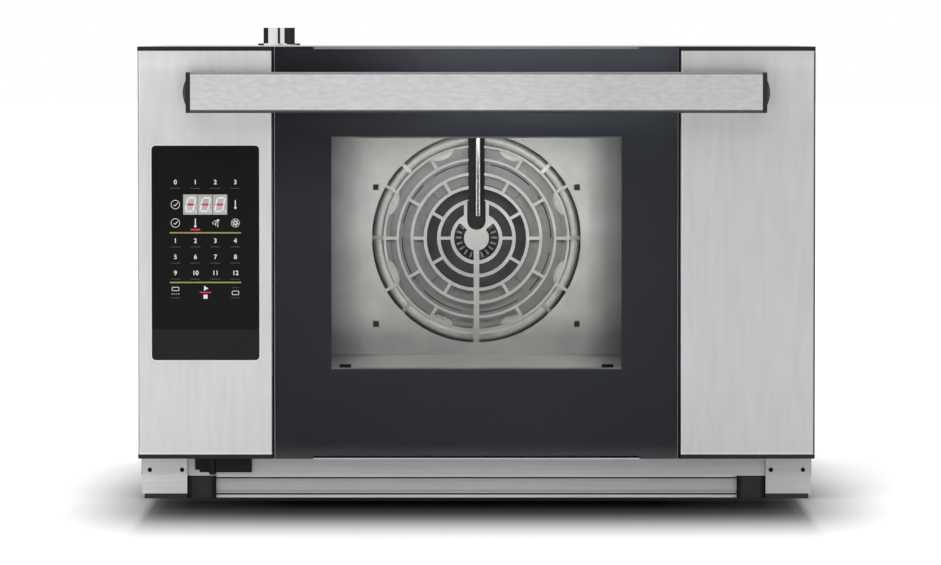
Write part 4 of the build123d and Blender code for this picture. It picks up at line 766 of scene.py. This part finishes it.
# %% Copies round the fan's axis
def round_the_fan(name, first, count, turn):
    """Copies of a piece round the fan's axis, joined into one."""
    copies = [first]
    for index in range(1, count):
        copy = first.copy()
        copy.data = first.data.copy()
        bpy.context.collection.objects.link(copy)
        copy.select_set(True)
        bpy.context.view_layer.objects.active = copy
        bpy.ops.transform.rotate(value=turn * index, orient_axis="Y", center_override=(0, 0, axis_z))
        bpy.ops.object.transform_apply(location=True, rotation=True, scale=True)
        copy.select_set(False)
        copies.append(copy)
    return join(name, copies)


fan_low, fan_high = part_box("fan_wheel")
seam_dark = surface("seam_dark", colour(56, 56, 55), colour(70, 70, 69), 0.6, scale=300.0)
rib_steel = surface("rib_steel", colour(150, 150, 147), colour(168, 168, 165), 0.45, 0.5, scale=300.0)
scallop_steel = surface("scallop_steel", colour(186, 186, 183), colour(206, 206, 203), 0.45, 0.4, scale=300.0)

# %% [markdown]
# A bead is a small circle that is spun about the axis in edit mode. A spin can turn the shape inside out, so
# its normals are made again.

# %% Beads
bead_radius = 71 * millimetre
bead_thickness = 0.55 * millimetre
bead_span = math.radians(34)
bead_count = 8
bpy.ops.mesh.primitive_circle_add(vertices=10, radius=bead_thickness,
                                  location=(bead_radius, fan_low.y, axis_z))
bead = bpy.context.object
bpy.ops.object.mode_set(mode="EDIT")
bpy.ops.mesh.select_all(action="SELECT")
bpy.ops.mesh.spin(steps=16, angle=bead_span, center=(0, fan_low.y, axis_z), axis=(0, 1, 0))
bpy.ops.mesh.select_all(action="SELECT")
bpy.ops.mesh.normals_make_consistent(inside=False)
bpy.ops.object.mode_set(mode="OBJECT")
settle(bead, "bead", seam_dark)
beads = round_the_fan("fan_beads", bead, bead_count, math.tau / bead_count)

# %% [markdown]
# The seams and the hub's ribs are short bars that point away from the axis.

# %% Seams and ribs
seam_inner, seam_outer = 52 * millimetre, 60 * millimetre
seam_half_width = 0.3 * millimetre
seam_count = 4
seam = bar("seam", (seam_inner, fan_low.y - 0.0002, axis_z - seam_half_width),
           (seam_outer, fan_low.y + 0.0002, axis_z + seam_half_width), seam_dark)
seam.select_set(True)
bpy.context.view_layer.objects.active = seam
bpy.ops.transform.rotate(value=math.radians(45), orient_axis="Y", center_override=(0, 0, axis_z))
settle(seam, "seam", seam_dark)
seams = round_the_fan("fan_seams", seam, seam_count, math.tau / seam_count)

rib_inner, rib_outer = 14.2 * millimetre, 19.5 * millimetre
rib_half_width = 0.8 * millimetre
rib_count = 20
rib = bar("rib", (rib_inner, fan_low.y + 0.0015, axis_z - rib_half_width),
          (rib_outer, fan_high.y - 0.0012, axis_z + rib_half_width), rib_steel)
ribs = round_the_fan("hub_ribs", rib, rib_count, math.tau / rib_count)

# %% [markdown]
# Light metal shows through each scallop of the fan's front ring. A flat oval lies behind each, half a step
# round from the seams.

# %% Backings of the scallops
backing_radius = 82.5 * millimetre
backing_half_width = 4.2 * millimetre
backing_half_length = 14.5 * millimetre
backing_thickness = 0.6 * millimetre
backing_count = 8
bpy.ops.mesh.primitive_cylinder_add(vertices=40, radius=1, depth=1)
backing = bpy.context.object
backing.scale = (backing_half_width, backing_half_length, backing_thickness)
bpy.ops.object.transform_apply(location=False, rotation=False, scale=True)
backing.rotation_euler = (math.pi / 2, 0, 0)
backing.location = (backing_radius, fan_low.y + 0.0018, axis_z)
bpy.ops.object.transform_apply(location=True, rotation=True, scale=True)
bpy.ops.transform.rotate(value=math.radians(22.5), orient_axis="Y", center_override=(0, 0, axis_z))
settle(backing, "scallop_backing", scallop_steel)
backings = round_the_fan("scallop_backings", backing, backing_count, math.tau / backing_count)
for piece in (beads, seams, ribs, backings):
    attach(piece, "fan")
print("Fan pieces:", beads.name, seams.name, ribs.name, backings.name)

# %% [markdown]
# ## Edges and joints of the front
# Grey strips give the ground edges of the glass a painted highlight beside the dark gaps, and a steel strip
# shows in the notch under the glass. At the door's sides the left edge is bare steel, and a black strip along
# the right edge is painted shade.

# %% Edges of the glass and the door
glass_edge_highlight = surface("glass_edge_highlight", colour(128, 131, 132), colour(146, 149, 150), 0.4, scale=80.0)
notch_steel = surface("notch_steel", colour(186, 186, 187), colour(200, 200, 201), 0.45, 0.5, sideways, 300.0)
side_steel = surface("side_steel", colour(214, 214, 215), colour(226, 226, 227), 0.45, 0.5, vertical, 300.0)
joint_and_shade_black = surface("joint_and_shade_black", colour(10, 10, 10), colour(16, 16, 16), 0.8, scale=200.0,
                      Specular_IOR_Level=0.1)
left_edge_x, right_edge_x = -178.7 * millimetre, 178.3 * millimetre
edge_half_width = 0.25 * millimetre
edges = [bar("glass_edge", (x - edge_half_width, glass_low.y + 0.0003, glass_low.z + 0.0002),
             (x + edge_half_width, glass_high.y - 0.0003, glass_high.z - 0.0002), glass_edge_highlight)
         for x in (left_edge_x, right_edge_x)]
glass_edges = join("glass_edges", edges)

notch_half_width = 144.6 * millimetre
notch_trim = bar("notch_trim", (-notch_half_width, glass_low.y + 0.0002, glass_low.z - 0.0007),
                 (notch_half_width, glass_low.y + 0.0012, glass_low.z + 0.0006), notch_steel)

panel_low, panel_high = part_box("door_panel_left")
side_inner, side_outer = 299.25 * millimetre, 299.95 * millimetre
door_sides = [bar(name, (low_x, panel_low.y + 0.0003, panel_low.z + 0.0006),
                  (high_x, panel_low.y + 0.0020, panel_high.z - 0.0006), material)
              for name, low_x, high_x, material in (("door_side_left", -side_outer, -side_inner, side_steel),
                                                    ("door_side_right", side_inner, side_outer, joint_and_shade_black))]
for piece in (glass_edges, notch_trim, *door_sides):
    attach(piece, "door")

# %% [markdown]
# The base is folded from sheet: a lip near the counter, the fascia, and the sill above it, with a dark joint
# between each two. The hems are the folded edges beside the joints; the lip and the sill's hem take painted
# highlights from the levels of the fascia's steel. The feet have a dark gap at each side.

# %% Joints, hems and lip of the base
fascia_low, fascia_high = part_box("lower_fascia")
foot_low, foot_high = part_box("foot_front_left")
side_gap = 0.1 * millimetre


def across_the_fascia(name, front, depth, low_z, high_z, material):
    """Bar along the whole fascia. Front and depth are its reach before and behind the fascia's face."""
    return bar(name, (fascia_low.x + side_gap, fascia_low.y - front, low_z),
               (fascia_high.x - side_gap, fascia_low.y + depth, high_z), material)


fascia_joints = [across_the_fascia("fascia_joint", 0.0002, 0.0006, low_z, high_z, joint_and_shade_black)
                 for low_z, high_z in ((0.0027, 0.0040), (0.0172, 0.0186))]
foot_edge_half = 0.7 * millimetre
foot_edges = [bar("foot_edge", (side * x - foot_edge_half, foot_low.y - 0.0002, 0.0006),
                  (side * x + foot_edge_half, foot_low.y + 0.0004, foot_high.z - 0.0002), joint_and_shade_black)
              for x in (0.2329, 0.2566) for side in (-1, 1)]
fascia_hem = across_the_fascia("fascia_hem", 0.0001, 0.0010, 0.0040, 0.0058, fascia_steel)
sill_hem_half = 231.8 * millimetre
sill_hem = bar("sill_hem", (-sill_hem_half, fascia_low.y - 0.0004, 0.0184),
               (sill_hem_half, fascia_low.y + 0.0010, 0.0199), fascia_steel)
fascia_lip = across_the_fascia("fascia_lip", 0.0003, 0.0012, 0.0002, 0.0027, fascia_steel)
for piece in (join("fascia_joints", fascia_joints), join("foot_edges", foot_edges), sill_hem, fascia_lip,
              fascia_hem):
    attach(piece, "cabinet")

# %% [markdown]
# ## Floor, light and camera
# The floor is a white surface that isn't part of the oven. It catches the soft shadow, and its colour carries
# a painted shadow in front of the oven.

# %% Floor
floor_size = 60.0
bpy.ops.mesh.primitive_plane_add(size=floor_size, location=(0, 0, 0))
floor = bpy.context.object
floor.name = "floor"
floor_painted_shadow = surface("floor_painted_shadow", colour(252, 252, 252), colour(255, 255, 255), 1.0, scale=1.0, swing=0.0,
                      Specular_IOR_Level=0.0)
floor.data.materials.append(floor_painted_shadow)

# %% [markdown]
# The photographed floor is black just in front of the oven and fades to white in front and at both sides. The
# floor's colour has that shadow, as the camera and sharp mirrors see it. As light on the oven the floor stays
# white. As a mirror image in the glass the floor further in front is dark, as a studio's camera side is.

# %% Shadow on the floor
# Painted shadow and painted dark reflection, both in the floor's colour.
across = [(0.16, 0.0), (0.25, 0.015), (0.272, 0.045), (0.282, 0.11), (0.29, 0.4), (0.305, 0.52),
          (0.335, 0.75), (0.36, 0.9), (0.39, 1.0)]
forward = [(-0.72, 1.0), (-0.62, 0.78), (-0.53, 0.45), (-0.46, 0.2), (-0.40, 0.06), (-0.33, 0.01),
           (-0.28, 0.0), (-0.12, 0.12), (-0.02, 0.41), (0.235, 1.0)]
dark_front = [(-0.95, 0.03), (-0.5, 1.0)]
ground = floor_painted_shadow.node_tree
ground_shader = ground.nodes["Principled BSDF"]
bare = ground_shader.inputs["Base Color"].links[0].from_socket
shadow = mixed(ground, along(ground, "x", across, mirrored=True), along(ground, "y", forward), "SCREEN")
lit = mixed(ground, bare, shadow.outputs["Result"])
far_front = mixed(ground, lit.outputs["Result"], along(ground, "y", dark_front))
kind_of_ray = ground.nodes.new("ShaderNodeLightPath")
ground.links.new(kind_of_ray.outputs["Is Singular Ray"], far_front.inputs["Factor"])
seen_or_mirrored = ground.nodes.new("ShaderNodeMath")
seen_or_mirrored.operation = "MAXIMUM"
ground.links.new(kind_of_ray.outputs["Is Camera Ray"], seen_or_mirrored.inputs[0])
ground.links.new(kind_of_ray.outputs["Is Singular Ray"], seen_or_mirrored.inputs[1])
floor_colour = mixed(ground, bare, far_front.outputs["Result"], "MIX")
ground.links.new(seen_or_mirrored.outputs["Value"], floor_colour.inputs["Factor"])
ground.links.new(floor_colour.outputs["Result"], ground_shader.inputs["Base Color"])
floor.select_set(False)

# %% [markdown]
# The world is white for the camera. As a light it is darker straight in front of the oven, where a studio has
# the dark camera side, so that the black glass stays dark. A polished pipe shows the studio as stripes, so
# sharp mirrors see dark screens behind the oven and at its right, and a bright ceiling.

# %% World
world = bpy.data.worlds.new("studio")
bpy.context.scene.world = world
world.use_nodes = True
sky = world.node_tree
sky.nodes.clear()
sky_out = sky.nodes.new("ShaderNodeOutputWorld")
seen = sky.nodes.new("ShaderNodeBackground")
seen.inputs["Color"].default_value = (1, 1, 1, 1)
seen.inputs["Strength"].default_value = 1.0
lighting = sky.nodes.new("ShaderNodeBackground")
lighting.inputs["Strength"].default_value = 1.0
choose = sky.nodes.new("ShaderNodeMixShader")
path = sky.nodes.new("ShaderNodeLightPath")
direction = sky.nodes.new("ShaderNodeTexCoord")
front_dot = sky.nodes.new("ShaderNodeVectorMath")
front_dot.operation = "DOT_PRODUCT"
front_dot.inputs[1].default_value = (0, -1, 0)
sky.links.new(direction.outputs["Generated"], front_dot.inputs[0])


def by_direction(levels):
    """Level of the sky by how far a direction points to the front, from 0 at the sides and behind to 1."""
    return ramped(sky, front_dot.outputs["Value"], levels)


def share_of(part, start, end, low, high):
    """Level that runs from low to high while a part of the direction runs from start to end."""
    spread = sky.nodes.new("ShaderNodeMapRange")
    spread.inputs["From Min"].default_value = start
    spread.inputs["From Max"].default_value = end
    spread.inputs["To Min"].default_value = low
    spread.inputs["To Max"].default_value = high
    sky.links.new(part, spread.inputs["Value"])
    return spread.outputs["Result"]


parts = sky.nodes.new("ShaderNodeSeparateXYZ")
sky.links.new(direction.outputs["Generated"], parts.inputs["Vector"])
soft_sky = by_direction([(0.0, 0.62), (0.35, 0.98), (0.85, 0.98), (0.98, 0.04)])
mirror_front = by_direction([(0.0, 0.03), (0.05, 0.03), (0.1, 0.98), (0.98, 0.98), (0.992, 0.04)])
right_side = share_of(parts.outputs["X"], 0.62, 0.68, 1.0, 0.04)
ceiling = share_of(parts.outputs["Z"], 0.3, 0.5, 0.0, 1.0)
mirror_sides = mixed(sky, mirror_front, right_side, "DARKEN")
mirror_sky = mixed(sky, mirror_sides.outputs["Result"], ceiling, "LIGHTEN")
sky_colour = mixed(sky, soft_sky, mirror_sky.outputs["Result"], "MIX")
sky.links.new(path.outputs["Is Singular Ray"], sky_colour.inputs["Factor"])
sky.links.new(sky_colour.outputs["Result"], lighting.inputs["Color"])
sky.links.new(path.outputs["Is Camera Ray"], choose.inputs["Fac"])
sky.links.new(lighting.outputs["Background"], choose.inputs[1])
sky.links.new(seen.outputs["Background"], choose.inputs[2])
sky.links.new(choose.outputs["Shader"], sky_out.inputs["Surface"])


# %% [markdown]
# Two soft suns light the oven from above and from the front left. Three small lamps light the chamber from
# inside, out of the camera's sight: one beside each wall and one under the ceiling.

# %% Lights
def area_light(name, location, target, width, height, watts):
    data = bpy.data.lights.new(name, "AREA")
    data.shape = "RECTANGLE"
    data.size = width
    data.size_y = height
    data.energy = watts
    lamp = bpy.data.objects.new(name, data)
    bpy.context.collection.objects.link(lamp)
    lamp.location = location
    aim = Vector(target) - Vector(location)
    lamp.rotation_euler = aim.to_track_quat("-Z", "Y").to_euler()
    return lamp


def soft_sun(name, strength, spread, turn):
    """Sun with a wide disc, so that its shadows are soft. Angles are in degrees."""
    data = bpy.data.lights.new(name, "SUN")
    data.energy = strength
    data.angle = math.radians(spread)
    sun = bpy.data.objects.new(name, data)
    bpy.context.collection.objects.link(sun)
    sun.rotation_euler = [math.radians(degrees) for degrees in turn]
    return sun


soft_sun("soft_top", 1.15, 24, (-22, 0, 0))
soft_sun("soft_front", 0.5, 50, (38, 0, -18))
side_x = chamber_high.x - 0.012
for side in (-1, 1):
    area_light("chamber_side", (side * side_x, -0.07, axis_z), (0, baffle_low.y, axis_z), 0.03, 0.19, 0.27)
area_light("chamber_top", (0.03, -0.16, chamber_high.z - 0.006), (0, baffle_low.y, chamber_low.z + 0.07),
           0.34, 0.04, 0.70)

# %% [markdown]
# The camera's distance, height and tilt were worked out from the photograph: the rear of the top can't be
# seen, and the handle and the steam pipe show how far the camera stood away.

# %% Camera
camera_data = bpy.data.cameras.new("photo_camera")
camera = bpy.data.objects.new("photo_camera", camera_data)
bpy.context.collection.objects.link(camera)
bpy.context.scene.camera = camera
camera_height = 0.414
camera_distance = 5.15
camera_tilt = math.radians(2.455)
camera.location = (0, glass_low.y - camera_distance, camera_height)
camera.rotation_euler = (math.pi / 2 - camera_tilt, 0, 0)
camera_data.sensor_width = 36
camera_data.lens = 222.66
camera_data.shift_x = -0.0063
camera_data.clip_end = 100

scene = bpy.context.scene
scene.view_settings.view_transform = "Standard"
scene.view_settings.look = "None"
